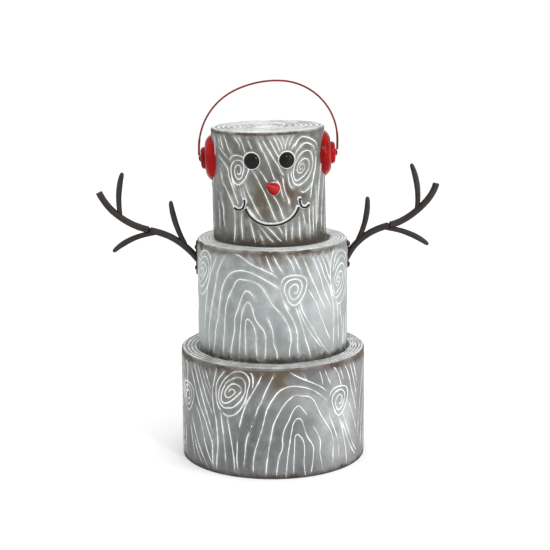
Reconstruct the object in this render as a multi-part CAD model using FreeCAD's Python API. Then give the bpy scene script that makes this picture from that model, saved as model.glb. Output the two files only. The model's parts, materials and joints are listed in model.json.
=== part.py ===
"""A snowman of three stacked sheet-metal drums, with twig arms and red ear muffs.

Lengths are in millimetres. The origin is the centre of the underside, +Z is up, and the snowman
faces -Y, so its left-hand side in a front view lies towards -X.
"""
import FreeCAD, Part
import math
import os

V = FreeCAD.Vector

# Drums
LOWER_R = 115.0            # outer radius of the lower drum
MIDDLE_R = 93.0            # outer radius of the middle drum
HEAD_R = 69.5              # outer radius of the head drum
DRUM_H = 138.0             # height of each drum, lid included
SHEET = 0.8                # gauge of the bands, lids and base plates
BEND = 2.0                 # outer radius of the bend round a lid
RIM = 2.8                  # height of a lid's bead, which sits on the band's top edge
SKIRT = 10.0               # how far a lid's or base plate's skirt reaches into its band
SKIRT_GAP = 0.05           # gap between a skirt and the band round it
LAP_W = 9.0                # width of the soldered lap down the back of each band
NOTCH_W = 9.0              # notches in the middle lid's skirt that clear the arm nuts
HEAD_SHIFT = -3.0          # how far the head stands off centre, along X
HEAD_LEAN = 0.9            # lean of the head towards -X, in degrees
HEAD_BASE_GAP = 0.3        # gap round the head's base plate, which lies flat while the band leans
TRIM = 4.0                 # extra band below the leaning head, cut off flat on the drum below

# Bolts that hold one drum on the next
BOLT_R = 2.5
BOLT_HEAD_R = 4.4
BOLT_HEAD_H = 3.0
BOLT_CIRCLE = {"lower": 48.0, "middle": 36.0}
BOLTS_PER_JOINT = 3
BOLT_TAIL = 7.0            # how far a bolt reaches below the lid that it passes
HOLE_CLEARANCE = 0.2       # radial, round every bolt, screw and stud
M5_NUT = {"flats": 8.0, "height": 4.0}

# Small screws and studs
SCREW_R = 1.5
SCREW_HEAD_R = 2.75
SCREW_HEAD_H = 1.9
SCREW_TAIL = 5.0           # how far a screw or stud reaches inside the band
M3_NUT = {"flats": 5.5, "height": 2.4}
NUT_SEAT = 0.3             # a flat nut stands this far off the curved wall inside
STUD_GRIP = 1.0            # how far a stud runs on into the piece that it holds
HEAD_ROUNDING = 0.55       # rounding of a screw head, as a share of its height

# Arms
ROD_R = 4.25               # main limb
TWIG_R = 3.6               # twig at its thickest
TWIG_SHAPE = (             # share of a twig's length from its weld, share of its full radius there
    (0.0, 0.72), (0.2, 0.89), (0.5, 1.0), (0.8, 0.97), (0.92, 0.83), (0.97, 0.66), (1.0, 0.36),
)
PLATE_T = 2.0
PLATE_W = 14.0
PLATE_CORNER = 3.0
PLATE_SCREW_PITCH = 26.0
PLATE_GAP = 0.05           # gap between a flat plate and the drum behind it
ARM_BURIED = 6.0           # length of limb cut off flush with its plate

# Each arm lies in the XZ plane: its plate's middle and height, the points from the limb's tip towards
# the plate, and for each twig its root, middle and tip.
ARMS = {
    "left": {
        "plate_z": 250.5,
        "plate_h": 42.0,
        "limb": ((-214.0, 333.0), (-207.3, 321.2), (-197.3, 309.2), (-183.6, 298.4), (-166.0, 289.4),
                 (-147.0, 284.0), (-128.0, 277.3), (-111.0, 266.4)),
        "twigs": {
            "outer": ((-187.6, 301.0), (-189.4, 329.5), (-184.2, 357.3)),
            "inner": ((-107.0, 264.8), (-119.6, 293.0), (-125.6, 322.0)),
            "lower": ((-144.0, 281.5), (-172.9, 274.8), (-198.4, 258.0)),
        },
    },
    "right": {
        "plate_z": 254.0,
        "plate_h": 34.0,
        "limb": ((202.7, 342.2), (197.6, 329.3), (186.7, 315.2), (172.4, 302.8), (156.0, 293.4),
                 (138.0, 287.8), (121.0, 280.2), (107.0, 269.6)),
        "twigs": {
            "outer": ((178.9, 307.0), (179.4, 337.5), (171.3, 366.6)),
            "inner": ((104.0, 267.5), (115.6, 296.8), (117.9, 326.0)),
            "lower": ((139.0, 286.5), (168.5, 279.9), (194.2, 265.0)),
        },
    },
}

# Face, on the head's own axis: arc length round the band from its front line, height above its foot
EYE_R = 9.7
EYE_H = 5.0
EYE_NUB_R = 1.7            # small nub pressed up in the middle of each eye
EYE_NUB_H = 0.5
EYE_SUNK = 2.0             # how far an eye's disc is drawn behind the band's front line, then cut
EYES = {"left": (-19.5, 104.0), "right": (23.0, 104.3)}
NOSE_AT = (5.6, 71.2)
NOSE_R = 6.3               # where the nose meets the band
NOSE_ROOT = 3.0            # how far the cone runs on behind the band's front line
NOSE_TIP = (-3.0, -80.6, 77.6)   # on the head's own axes
NOSE_TIP_R = 1.1
NOSE_BALL_R = 1.12         # the ball that rounds the tip, a little proud of the cone's end
WIRE_R = 1.15
WIRE_GAP = 0.04            # solder gap between a face wire and the band
MOUTH = {
    "smile_wire": ((-28.0, 47.0), (-20.5, 35.4), (-9.0, 28.6), (3.8, 26.8),
                   (17.0, 28.8), (29.5, 36.0), (37.0, 47.0)),
    "left_cheek_wire": ((-43.6, 47.2), (-37.8, 44.8), (-32.6, 46.4), (-29.9, 51.0), (-29.9, 57.5)),
    "right_cheek_wire": ((39.0, 57.2), (39.2, 51.0), (42.2, 46.4), (46.8, 45.2), (52.6, 48.4)),
}

# Ear muffs and headband; "out" is the distance from the head's axis
EAR_Z = 102.0              # height of the ears' line where it crosses the head's axis
EAR_TILT = 1.3             # the ears' line rises this many degrees towards +X, on the head's own axes
MUFF_R = 29.3
MUFF_EDGE_OUT = 67.5       # where the muff's wall starts to round over
MUFF_TURN = (25.3, 73.6)   # a point on the round, as radius and distance out
MUFF_TOP_R = 19.5
MUFF_TOP_OUT = 77.0
SHELL = 1.0                # wall of the pressed muffs and caps
INNER_TURN = 0.7           # the round's inner side, moved back by this share of the wall both ways
CAP_R = 13.7
CAP_TURN = (12.4, 81.6)
CAP_TOP_R = 8.5
CAP_TOP_OUT = 82.8
PIVOT_R = 1.5
PIVOT_HEAD_R = 2.6
PIVOT_HEAD_H = 1.0
RUNNING = 0.06             # radial clearance of the eyelet on its pivot
END_PLAY = 0.1             # on each side of the eyelet
EYELET_R = 4.2
EYELET_T = 1.4
HOOP_WIRE_R = 1.15
SLEEVE_R = 1.4             # crimped sleeve on each leg of the hoop
SLEEVE_TURN = 8.0          # degrees of the side bend that the sleeve covers
HOOP_OUT = 84.9            # centre line of the hoop's legs
HOOP_SIDE_R = {"left": 78.5, "right": 72.0}    # the bend above each leg
HOOP_TOP_R = 117.0
HOOP_TOP_X = 11.0          # the crown sits this far to +X
HOOP_TOP_Z = 193.3         # centre line at the crown
HOOP_LEAN = 1.7            # lean of the hoop towards +X, in degrees
HOOP_LEG_START = 3.6       # distance of a leg's end from the pivot's axis

MIDDLE_Z = DRUM_H
HEAD_Z = 2 * DRUM_H
UP = V(0, 0, 1)
FAR = 400.0                # longer than anything here, for cutting tools


# Making and writing ------------------------------------------------------------------------------

def placed_head(shape):
    """The shape, made on the head's own axes, where the leaning head has it."""
    moved = shape.copy()
    moved.rotate(V(0, 0, 0), V(0, 1, 0), -HEAD_LEAN)
    moved.translate(V(HEAD_SHIFT, 0, HEAD_Z))
    return moved


def write(name, *solids):
    """One STEP for one node."""
    shape = solids[0] if len(solids) == 1 else Part.makeCompound(list(solids))
    if not shape.isValid():
        raise ValueError(name + " isn't a valid shape")
    shape.exportStep(os.path.join("parts", name + ".step"))
    print(name, round(sum(s.Volume for s in solids), 1))


def lathe(edges, base=V(0, 0, 0), axis=UP):
    """A solid turned from a closed outline of edges that lie in one plane with the axis."""
    face = Part.Face(Part.Wire(Part.__sortEdges__(edges)))
    solid = face.revolve(base, axis, 360)
    return solid if solid.ShapeType == "Solid" else Part.Solid(Part.Shell(solid.Faces))


def line(a, b):
    return Part.LineSegment(a, b).toShape()


def polyline(points):
    return [line(a, b) for a, b in zip(points, points[1:])]


def arc(a, middle, b):
    return Part.Arc(a, middle, b).toShape()


def tube(radius, wall, low, high):
    outer = Part.makeCylinder(radius, high - low, V(0, 0, low))
    return outer.cut(Part.makeCylinder(radius - wall, high - low, V(0, 0, low)))


def rod(start, direction, radius, length):
    return Part.makeCylinder(radius, length, start, direction)


def pan_head(seat, out, radius, height):
    """A screw head on an ear or arm, rounded over at its far end."""
    head = rod(seat, out, radius, height)
    return head.makeFillet(height * HEAD_ROUNDING, [max(head.Edges, key=lambda e: abs(e.CenterOfMass.x))])


def hex_nut(size, hole_r, start, direction):
    """A hexagonal nut that starts at a point and grows in a direction."""
    corner = size["flats"] / math.sqrt(3)
    corners = [V(corner * math.cos(k * math.pi / 3), corner * math.sin(k * math.pi / 3), 0) for k in range(7)]
    nut = Part.Face(Part.makePolygon(corners)).extrude(V(0, 0, size["height"]))
    nut = nut.cut(Part.makeCylinder(hole_r, size["height"]))
    nut.Placement = FreeCAD.Placement(start, FreeCAD.Rotation(UP, direction))
    return nut


def swept(path_edges, start, direction, radius):
    """A round rod along a path."""
    path = Part.Wire(path_edges)
    section = Part.Wire(Part.makeCircle(radius, start, direction))
    return path.makePipeShell([section], True, True)


def through(points):
    """A smooth curve through points."""
    curve = Part.BSplineCurve()
    curve.interpolate(points)
    return curve.toShape()


# Drums -------------------------------------------------------------------------------------------

def band(radius, low, high):
    """A rolled band whose ends lap down the back."""
    half = math.degrees(LAP_W / 2 / radius)
    lap = Part.makeCylinder(radius + SHEET, high - low, V(0, 0, low), UP, 2 * half)
    lap = lap.cut(Part.makeCylinder(radius - SHEET / 2, high - low, V(0, 0, low)))
    lap.rotate(V(0, 0, 0), UP, 90 - half)
    return tube(radius, SHEET, low, high).fuse(lap).removeSplitter()


def lid(radius):
    """A pressed lid whose bead sits on the band's edge and whose skirt drops inside the band."""
    outer = radius - SHEET - SKIRT_GAP
    inner = outer - SHEET
    bend_mid = BEND * math.sin(math.pi / 4)
    outline = [
        line(V(0, 0, DRUM_H), V(radius - BEND, 0, DRUM_H)),
        arc(V(radius - BEND, 0, DRUM_H),
            V(radius - BEND + bend_mid, 0, DRUM_H - BEND + bend_mid),
            V(radius, 0, DRUM_H - BEND)),
    ]
    outline += polyline([
        V(radius, 0, DRUM_H - BEND),
        V(radius, 0, DRUM_H - RIM),
        V(outer, 0, DRUM_H - RIM),
        V(outer, 0, DRUM_H - RIM - SKIRT),
        V(inner, 0, DRUM_H - RIM - SKIRT),
        V(inner, 0, DRUM_H - SHEET),
        V(0, 0, DRUM_H - SHEET),
        V(0, 0, DRUM_H),
    ])
    return lathe(outline)


def base_plate(outer):
    """A flat plate with a skirt turned up inside the band."""
    inner = outer - SHEET
    return lathe(polyline([
        V(0, 0, 0), V(outer, 0, 0), V(outer, 0, SKIRT), V(inner, 0, SKIRT),
        V(inner, 0, SHEET), V(0, 0, SHEET), V(0, 0, 0),
    ]))


def bolt_places(circle, centre_x):
    """Where the bolts of one joint stand, in plan."""
    turn = 2 * math.pi / BOLTS_PER_JOINT
    angles = [math.pi / 2 + k * turn for k in range(BOLTS_PER_JOINT)]
    return [V(centre_x + circle * math.cos(a), circle * math.sin(a), 0) for a in angles]


def drilled(shape, places, low, high):
    for place in places:
        shape = shape.cut(rod(place + V(0, 0, low), UP, BOLT_R + HOLE_CLEARANCE, high - low))
    return shape


def write_joint(name, places, joint_z):
    """Bolts with heads inside the upper drum and nuts inside the lower one."""
    bolts = []
    nuts = []
    for place in places:
        shank = rod(place + V(0, 0, joint_z - SHEET - BOLT_TAIL), UP, BOLT_R, 2 * SHEET + BOLT_TAIL)
        head = rod(place + V(0, 0, joint_z + SHEET), UP, BOLT_HEAD_R, BOLT_HEAD_H)
        bolts.append(shank.fuse(head).removeSplitter())
        nuts.append(hex_nut(M5_NUT, BOLT_R, place + V(0, 0, joint_z - SHEET), -UP))
    write(name + "_joint_bolts", *bolts)
    write(name + "_joint_nuts", *nuts)


def radial(angle):
    """The direction that points out of a drum, an angle in radians round from its front."""
    return V(math.sin(angle), -math.cos(angle), 0)


def write_lower_drum(joint_places):
    write("lower_band", band(LOWER_R, 0, DRUM_H - RIM))
    write("lower_base", base_plate(LOWER_R - SHEET - SKIRT_GAP))
    write("lower_lid", drilled(lid(LOWER_R), joint_places, 0, FAR))


def write_middle_drum(foot_places, top_places):
    shell = band(MIDDLE_R, 0, DRUM_H - RIM)
    for side, arm in ARMS.items():
        for screw in plate_screws(side, arm):
            start = V(0, 0, screw.z - MIDDLE_Z)
            shell = shell.cut(rod(start, outward(side), SCREW_R + HOLE_CLEARANCE, FAR))
    notches = Part.makeBox(2 * MIDDLE_R, NOTCH_W, SKIRT, V(-MIDDLE_R, -NOTCH_W / 2, DRUM_H - RIM - SKIRT))
    parts = {
        "middle_band": shell,
        "middle_base": drilled(base_plate(MIDDLE_R - SHEET - SKIRT_GAP), foot_places, -SHEET, SKIRT),
        "middle_lid": drilled(lid(MIDDLE_R), top_places, DRUM_H - 2 * SHEET, FAR).cut(notches),
    }
    for name, shape in parts.items():
        shape.translate(V(0, 0, MIDDLE_Z))
        write(name, shape)


def write_head_drum(places):
    shell = band(HEAD_R, -TRIM, DRUM_H - RIM)
    for arc_s, z in [*EYES.values(), NOSE_AT]:
        shell = shell.cut(rod(V(0, 0, z), radial(arc_s / HEAD_R), SCREW_R + HOLE_CLEARANCE, FAR))
    shell = placed_head(shell.cut(ear_line(PIVOT_R + HOLE_CLEARANCE)))
    below = Part.makeBox(FAR, FAR, FAR, V(-FAR / 2, -FAR / 2, HEAD_Z - FAR))
    write("head_band", shell.cut(below))
    write("head_lid", placed_head(lid(HEAD_R)))
    foot = base_plate(HEAD_R - SHEET - HEAD_BASE_GAP)
    foot.translate(V(HEAD_SHIFT, 0, HEAD_Z))
    write("head_base", drilled(foot, places, HEAD_Z - SHEET, HEAD_Z + SKIRT))


# Arms --------------------------------------------------------------------------------------------

def outward(side):
    return V(-1, 0, 0) if side == "left" else V(1, 0, 0)


def plate_screws(side, arm):
    """Where an arm's two screws cross the plate's inner face."""
    face = outward(side) * (MIDDLE_R + PLATE_GAP)
    half = PLATE_SCREW_PITCH / 2
    return [face + V(0, 0, arm["plate_z"] + half), face + V(0, 0, arm["plate_z"] - half)]


def arm_plate(side, arm):
    height = arm["plate_h"]
    plate = Part.makeBox(PLATE_T, PLATE_W, height, V(0, -PLATE_W / 2, -height / 2))
    upright = [e for e in plate.Edges if abs(e.Vertexes[0].X - e.Vertexes[1].X) > PLATE_T / 2]
    plate = plate.makeFillet(PLATE_CORNER, upright)
    inner = outward(side) * (MIDDLE_R + PLATE_GAP)
    plate.translate(V(inner.x if side == "right" else inner.x - PLATE_T, 0, arm["plate_z"]))
    for screw in plate_screws(side, arm):
        plate = plate.cut(rod(V(0, 0, screw.z), outward(side), SCREW_R + HOLE_CLEARANCE, FAR))
    return plate


def limb(side, arm):
    """The main rod, bent twice, with its foot cut flush with the plate."""
    face_x = outward(side).x * (MIDDLE_R + PLATE_GAP + PLATE_T)
    root = V(face_x, 0, arm["plate_z"])
    course = through([root, *[V(x, 0, z) for x, z in reversed(arm["limb"])]])
    along = course.tangentAt(course.FirstParameter)
    buried = root - along * ARM_BURIED
    solid = swept([line(buried, root), course], buried, along, ROD_R)
    cutter = Part.makeBox(FAR, FAR, FAR, V(face_x if side == "left" else face_x - FAR, -FAR / 2, 0))
    return solid.cut(cutter)


def twig(points):
    """A tapered rod along an arc: thin where it is welded, full in the middle, drawn out at its tip."""
    edge = arc(*[V(x, 0, z) for x, z in points])
    sections = []
    for share, fullness in TWIG_SHAPE:
        at = edge.FirstParameter + share * (edge.LastParameter - edge.FirstParameter)
        circle = Part.makeCircle(TWIG_R * fullness, edge.valueAt(at), edge.tangentAt(at))
        sections.append(Part.Wire(circle))
    return Part.makeLoft(sections, True)


def write_arm(side, arm):
    main = limb(side, arm)
    write(side + "_arm_limb", main)
    for which, points in arm["twigs"].items():
        pieces = twig(points).cut(main).Solids
        write(side + "_" + which + "_twig", max(pieces, key=lambda p: p.Volume))
    write(side + "_arm_plate", arm_plate(side, arm))
    screws = []
    nuts = []
    out = outward(side)
    for place in plate_screws(side, arm):
        seat = place + out * PLATE_T
        reach = PLATE_T + PLATE_GAP + SHEET + SCREW_TAIL
        shank = rod(seat, -out, SCREW_R, reach)
        head = pan_head(seat, out, SCREW_HEAD_R, SCREW_HEAD_H)
        screws.append(shank.fuse(head).removeSplitter())
        nuts.append(hex_nut(M3_NUT, SCREW_R, place - out * (PLATE_GAP + SHEET + NUT_SEAT), -out))
    write(side + "_arm_screws", *screws)
    write(side + "_arm_nuts", *nuts)


# Face --------------------------------------------------------------------------------------------

def head_core():
    """What the head band fills, used to cut the back of a piece to the band's curve."""
    return Part.makeCylinder(HEAD_R + WIRE_GAP, DRUM_H + 2 * TRIM, V(0, 0, -TRIM))


def stud(arc_s, z):
    """A stud from just outside the band to its tail inside."""
    out = radial(arc_s / HEAD_R)
    tail = out * (HEAD_R - SHEET - SCREW_TAIL) + V(0, 0, z)
    return rod(tail, out, SCREW_R, SHEET + SCREW_TAIL + STUD_GRIP)


def stud_nut(arc_s, z):
    out = radial(arc_s / HEAD_R)
    return hex_nut(M3_NUT, SCREW_R, out * (HEAD_R - SHEET - NUT_SEAT) + V(0, 0, z), -out)


def eye(arc_s, z):
    """A low domed disc with a small nub in its middle, on a stud."""
    dome_r = (EYE_R ** 2 + EYE_H ** 2) / (2 * EYE_H)
    half = math.asin(EYE_R / dome_r) / 2
    middle = V(dome_r * math.sin(half), 0, EYE_H - dome_r * (1 - math.cos(half)))
    outline = [
        arc(V(0, 0, EYE_H), middle, V(EYE_R, 0, 0)),
        *polyline([V(EYE_R, 0, 0), V(EYE_R, 0, -EYE_SUNK), V(0, 0, -EYE_SUNK), V(0, 0, EYE_H)]),
    ]
    disc = lathe(outline)
    nub_r = (EYE_NUB_R ** 2 + EYE_NUB_H ** 2) / (2 * EYE_NUB_H)
    nub = Part.makeSphere(nub_r, V(0, 0, EYE_H + EYE_NUB_H - nub_r))
    ring = Part.makeCylinder(EYE_NUB_R, EYE_H, V(0, 0, EYE_H / 2))
    disc = disc.fuse(nub.common(ring)).removeSplitter()
    out = radial(arc_s / HEAD_R)
    disc.Placement = FreeCAD.Placement(out * HEAD_R + V(0, 0, z), FreeCAD.Rotation(UP, out))
    return disc.cut(head_core()).fuse(stud(arc_s, z)).removeSplitter()


def nose():
    """A small carrot that points forward and a little to one side."""
    arc_s, z = NOSE_AT
    out = radial(arc_s / HEAD_R)
    seat = out * HEAD_R + V(0, 0, z)
    tip = V(*NOSE_TIP)
    along = (tip - seat).normalize()
    start = seat - along * NOSE_ROOT
    length = (tip - start).Length - NOSE_TIP_R
    taper = (NOSE_R - NOSE_TIP_R) / (length - NOSE_ROOT)
    cone = Part.makeCone(NOSE_R + taper * NOSE_ROOT, NOSE_TIP_R, length, start, along)
    ball = Part.makeSphere(NOSE_BALL_R, start + along * length)
    return cone.fuse(ball).removeSplitter().cut(head_core()).fuse(stud(arc_s, z)).removeSplitter()


def face_wire(points):
    """A wire bent to lie on the band, through points given as arc length and height."""
    reach = HEAD_R + WIRE_GAP + WIRE_R
    edge = through([radial(s / HEAD_R) * reach + V(0, 0, z) for s, z in points])
    start = edge.valueAt(edge.FirstParameter)
    return swept([edge], start, edge.tangentAt(edge.FirstParameter), WIRE_R)


def write_face():
    for side, place in EYES.items():
        write(side + "_eye", placed_head(eye(*place)))
    write("eye_nuts", *[placed_head(stud_nut(*place)) for place in EYES.values()])
    write("nose", placed_head(nose()))
    write("nose_nut", placed_head(stud_nut(*NOSE_AT)))
    smile = face_wire(MOUTH["smile_wire"])
    write("smile_wire", placed_head(smile))
    for name in ("left_cheek_wire", "right_cheek_wire"):
        write(name, placed_head(face_wire(MOUTH[name]).cut(smile)))


# Ear muffs and headband --------------------------------------------------------------------------

def on_ears(shape):
    """The shape, made about a level line at ear height, tilted with the ears' line."""
    tilted = shape.copy()
    tilted.rotate(V(0, 0, EAR_Z), V(0, 1, 0), -EAR_TILT)
    return tilted


def ear_line(radius):
    """A rod along the ears' line, right through the head."""
    return on_ears(rod(V(-FAR / 2, 0, EAR_Z), V(1, 0, 0), radius, FAR))


def dome_shell(side, rim, turn, top_r, top_out, start_out, rim_out):
    """A pressed round dome on the ears' line, open towards the head."""
    def at(radius, out):
        return V(out, 0, EAR_Z + radius)

    inner_turn = (turn[0] - SHELL * INNER_TURN, turn[1] - SHELL * INNER_TURN)
    outline = [
        line(at(0, top_out), at(top_r, top_out)),
        arc(at(top_r, top_out), at(*turn), at(rim, rim_out)),
        *polyline([at(rim, rim_out), at(rim, start_out)]),
        *polyline([at(rim, start_out), at(rim - SHELL, start_out), at(rim - SHELL, rim_out)]),
        arc(at(rim - SHELL, rim_out), at(*inner_turn), at(top_r, top_out - SHELL)),
        *polyline([at(top_r, top_out - SHELL), at(0, top_out - SHELL), at(0, top_out)]),
    ]
    shell = lathe(outline, V(0, 0, EAR_Z), V(1, 0, 0))
    shell = shell if side == "right" else shell.mirror(V(0, 0, 0), V(1, 0, 0))
    return on_ears(shell).cut(ear_line(PIVOT_R + HOLE_CLEARANCE))


def pivot(side):
    """The screw that holds the eyelet, cap and muff on the head."""
    out = outward(side)
    seat = out * (CAP_TOP_OUT + EYELET_T + 2 * END_PLAY) + V(0, 0, EAR_Z)
    inside = HEAD_R - SHEET - SCREW_TAIL
    shank = rod(seat, -out, PIVOT_R, abs(seat.x) - inside)
    head = pan_head(seat, out, PIVOT_HEAD_R, PIVOT_HEAD_H)
    return on_ears(shank.fuse(head).removeSplitter())


def hoop():
    """The headband: two eyelets, two sleeved legs, two side bends and a flatter crown."""
    def at(x, z):
        """A point of the hoop, leaned about the middle of the ears' line."""
        a = math.radians(HOOP_LEAN)
        dz = z - EAR_Z
        return V(x * math.cos(a) + dz * math.sin(a), 0, EAR_Z + dz * math.cos(a) - x * math.sin(a))

    def bend(side):
        """The points of a side bend by angle, and the angle where the crown takes over."""
        sign, radius = outward(side).x, HOOP_SIDE_R[side]
        centre_x = sign * (HOOP_OUT - radius)
        climb = math.sqrt((HOOP_TOP_R - radius) ** 2 - (centre_x - HOOP_TOP_X) ** 2)

        def point(angle):
            return at(centre_x + sign * radius * math.cos(angle), top_z + climb + radius * math.sin(angle))

        return point, math.atan2(climb, sign * (centre_x - HOOP_TOP_X))

    top_z = HOOP_TOP_Z - HOOP_TOP_R
    climb = HOOP_OUT * (math.sin(math.radians(HOOP_LEAN)) + math.sin(math.radians(EAR_TILT)))
    left_foot = at(-HOOP_OUT, EAR_Z + HOOP_LEG_START - climb)
    right_foot = at(HOOP_OUT, EAR_Z + HOOP_LEG_START + climb)
    left, left_turn = bend("left")
    right, right_turn = bend("right")
    path = [
        line(left_foot, left(0)),
        arc(left(0), left(left_turn / 2), left(left_turn)),
        arc(left(left_turn), at(HOOP_TOP_X, HOOP_TOP_Z), right(right_turn)),
        arc(right(right_turn), right(right_turn / 2), right(0)),
        line(right(0), right_foot),
    ]
    wire = swept(path, left_foot, left(0) - left_foot, HOOP_WIRE_R)
    covered = math.radians(SLEEVE_TURN)
    for foot, point in ((left_foot, left), (right_foot, right)):
        sleeve = [line(foot, point(0)), arc(point(0), point(covered / 2), point(covered))]
        wire = wire.fuse(swept(sleeve, foot, point(0) - foot, SLEEVE_R))
    for side in ("left", "right"):
        out = outward(side)
        eyelet = rod(out * (CAP_TOP_OUT + END_PLAY) + V(0, 0, EAR_Z), out, EYELET_R, EYELET_T)
        wire = wire.fuse(on_ears(eyelet))
    return wire.cut(ear_line(PIVOT_R + RUNNING)).removeSplitter()


def write_ears():
    for side in ("left", "right"):
        muff = dome_shell(side, MUFF_R, MUFF_TURN, MUFF_TOP_R, MUFF_TOP_OUT, HEAD_R / 2, MUFF_EDGE_OUT)
        write(side + "_muff", placed_head(muff.cut(head_core())))
        cap = dome_shell(side, CAP_R, CAP_TURN, CAP_TOP_R, CAP_TOP_OUT, MUFF_TOP_OUT, MUFF_TOP_OUT + SHELL)
        write(side + "_cap", placed_head(cap))
        write(side + "_pivot_screw", placed_head(pivot(side)))
        out = outward(side)
        nut = hex_nut(M3_NUT, PIVOT_R, out * (HEAD_R - SHEET - NUT_SEAT) + V(0, 0, EAR_Z), -out)
        write(side + "_pivot_nut", placed_head(on_ears(nut)))
    write("headband_hoop", placed_head(hoop()))


def main():
    os.makedirs("parts", exist_ok=True)
    low_joint = bolt_places(BOLT_CIRCLE["lower"], 0)
    high_joint = bolt_places(BOLT_CIRCLE["middle"], HEAD_SHIFT)
    write_lower_drum(low_joint)
    write_middle_drum(low_joint, high_joint)
    write_head_drum(high_joint)
    write_joint("lower", low_joint, MIDDLE_Z)
    write_joint("upper", high_joint, HEAD_Z)
    for side, arm in ARMS.items():
        write_arm(side, arm)
    write_face()
    write_ears()


main()
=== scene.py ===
"""A snowman of three pressed-metal drums, dressed for a studio picture.

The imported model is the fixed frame: every size and place here is worked out from it. Lengths are in
metres; grain strokes are drawn in millimetres, as on the flat sheet before it is rolled.
"""

import json
import math

import bmesh
import bpy
import numpy as np
from bpy.props import FloatProperty, FloatVectorProperty, IntProperty, PointerProperty
from mathutils import Matrix, Vector
from mathutils.kdtree import KDTree


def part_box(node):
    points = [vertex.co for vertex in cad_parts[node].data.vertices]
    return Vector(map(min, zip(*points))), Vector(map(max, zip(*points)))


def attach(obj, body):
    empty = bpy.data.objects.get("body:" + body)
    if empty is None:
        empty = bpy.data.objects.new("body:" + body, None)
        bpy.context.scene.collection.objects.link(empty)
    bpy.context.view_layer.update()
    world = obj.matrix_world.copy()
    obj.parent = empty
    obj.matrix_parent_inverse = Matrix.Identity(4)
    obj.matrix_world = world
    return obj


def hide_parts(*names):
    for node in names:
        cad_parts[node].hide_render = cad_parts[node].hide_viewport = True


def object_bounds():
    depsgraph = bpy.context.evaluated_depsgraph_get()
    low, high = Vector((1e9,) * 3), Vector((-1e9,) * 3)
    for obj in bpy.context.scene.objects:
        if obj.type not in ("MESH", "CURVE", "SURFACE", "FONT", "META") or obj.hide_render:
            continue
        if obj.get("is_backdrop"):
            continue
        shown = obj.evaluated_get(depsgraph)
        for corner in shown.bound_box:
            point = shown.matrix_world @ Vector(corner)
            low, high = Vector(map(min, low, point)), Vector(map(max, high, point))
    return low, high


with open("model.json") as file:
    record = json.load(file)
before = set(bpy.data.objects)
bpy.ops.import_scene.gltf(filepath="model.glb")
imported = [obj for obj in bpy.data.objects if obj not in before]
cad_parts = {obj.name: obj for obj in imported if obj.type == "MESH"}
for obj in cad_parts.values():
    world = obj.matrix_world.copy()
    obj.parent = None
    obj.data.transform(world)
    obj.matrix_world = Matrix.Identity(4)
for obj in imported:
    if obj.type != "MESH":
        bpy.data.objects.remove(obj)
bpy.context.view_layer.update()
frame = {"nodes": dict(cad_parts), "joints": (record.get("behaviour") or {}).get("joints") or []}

bl_info = {
    "name": "Pressed-metal snowman",
    "version": (1, 0, 0),
    "blender": (4, 5, 0),
    "location": "3D View > Sidebar > Snowman",
    "description": "Builds the drums, twig arms, face, ear muffs and headband of a sheet-metal snowman",
    "category": "Add Mesh",
}

MM = 0.001
FIXED_BODY = "snowman"
SWING_BODY = "headband"


# The frame's own measures ------------------------------------------------------------------------

class Drum:
    """One drum of the stack, with the axes that its sheet and lid are made on."""

    def __init__(self, name, placement, radius, top):
        self.name = name
        self.placement = placement
        self.radius = radius
        self.top = top

    @property
    def half_round(self):
        return math.pi * self.radius


def upright_drum(name):
    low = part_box(name + "_base")[0]
    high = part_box(name + "_lid")[1]
    return Drum(name, Matrix.Translation((0, 0, low.z)), high.x, high.z - low.z)


def head_drum():
    """The head leans about the middle of its foot, as far as its lid's flat top does."""
    lid = frame["nodes"]["head_lid"].data
    flat = max((p for p in lid.polygons if p.normal.z > 0.9), key=lambda p: p.area)
    lean = math.atan2(-flat.normal.x, flat.normal.z)
    low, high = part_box("head_base")
    foot = Vector(((low.x + high.x) / 2, 0, low.z))
    placement = Matrix.Translation(foot) @ Matrix.Rotation(-lean, 4, "Y")
    radius = -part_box("head_band")[0].y
    back = placement.inverted()
    return Drum("head", placement, radius, max((back @ v.co).z for v in lid.vertices))


HINGE = frame["joints"][0]
LOWER = upright_drum("lower")
MIDDLE = upright_drum("middle")
HEAD = head_drum()
DRUMS = (LOWER, MIDDLE, HEAD)
HEAD_INVERSE = HEAD.placement.inverted()
RIM = MIDDLE.placement.translation.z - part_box("lower_band")[1].z
SHEET = 0.8 * MM
LAP_WIDTH = 9.0 * MM
NO_LAP = 1.0               # a distance from the lap that is too far to matter


def head_points(node):
    """A node's vertices on the head's own axes."""
    return np.array([HEAD_INVERSE @ v.co for v in frame["nodes"][node].data.vertices])


def outermost(points):
    """The point furthest from the head's axis: its angle from the front, its height and its distance."""
    far = points[np.argmax(np.hypot(points[:, 0], points[:, 1]))]
    return math.atan2(far[0], -far[1]), float(far[2]), math.hypot(far[0], far[1])


# Properties --------------------------------------------------------------------------------------

def length(name, description, millimetres):
    return FloatProperty(name=name, description=description, default=millimetres * MM, min=0.0,
                         subtype="DISTANCE", unit="LENGTH")


def colour(name, description, default):
    return FloatVectorProperty(name=name, description=description, default=default, size=3, min=0.0, max=1.0,
                               subtype="COLOR")


def power(name, description, watts):
    return FloatProperty(name=name, description=description + ", in watts", default=watts, min=0.0)


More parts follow.
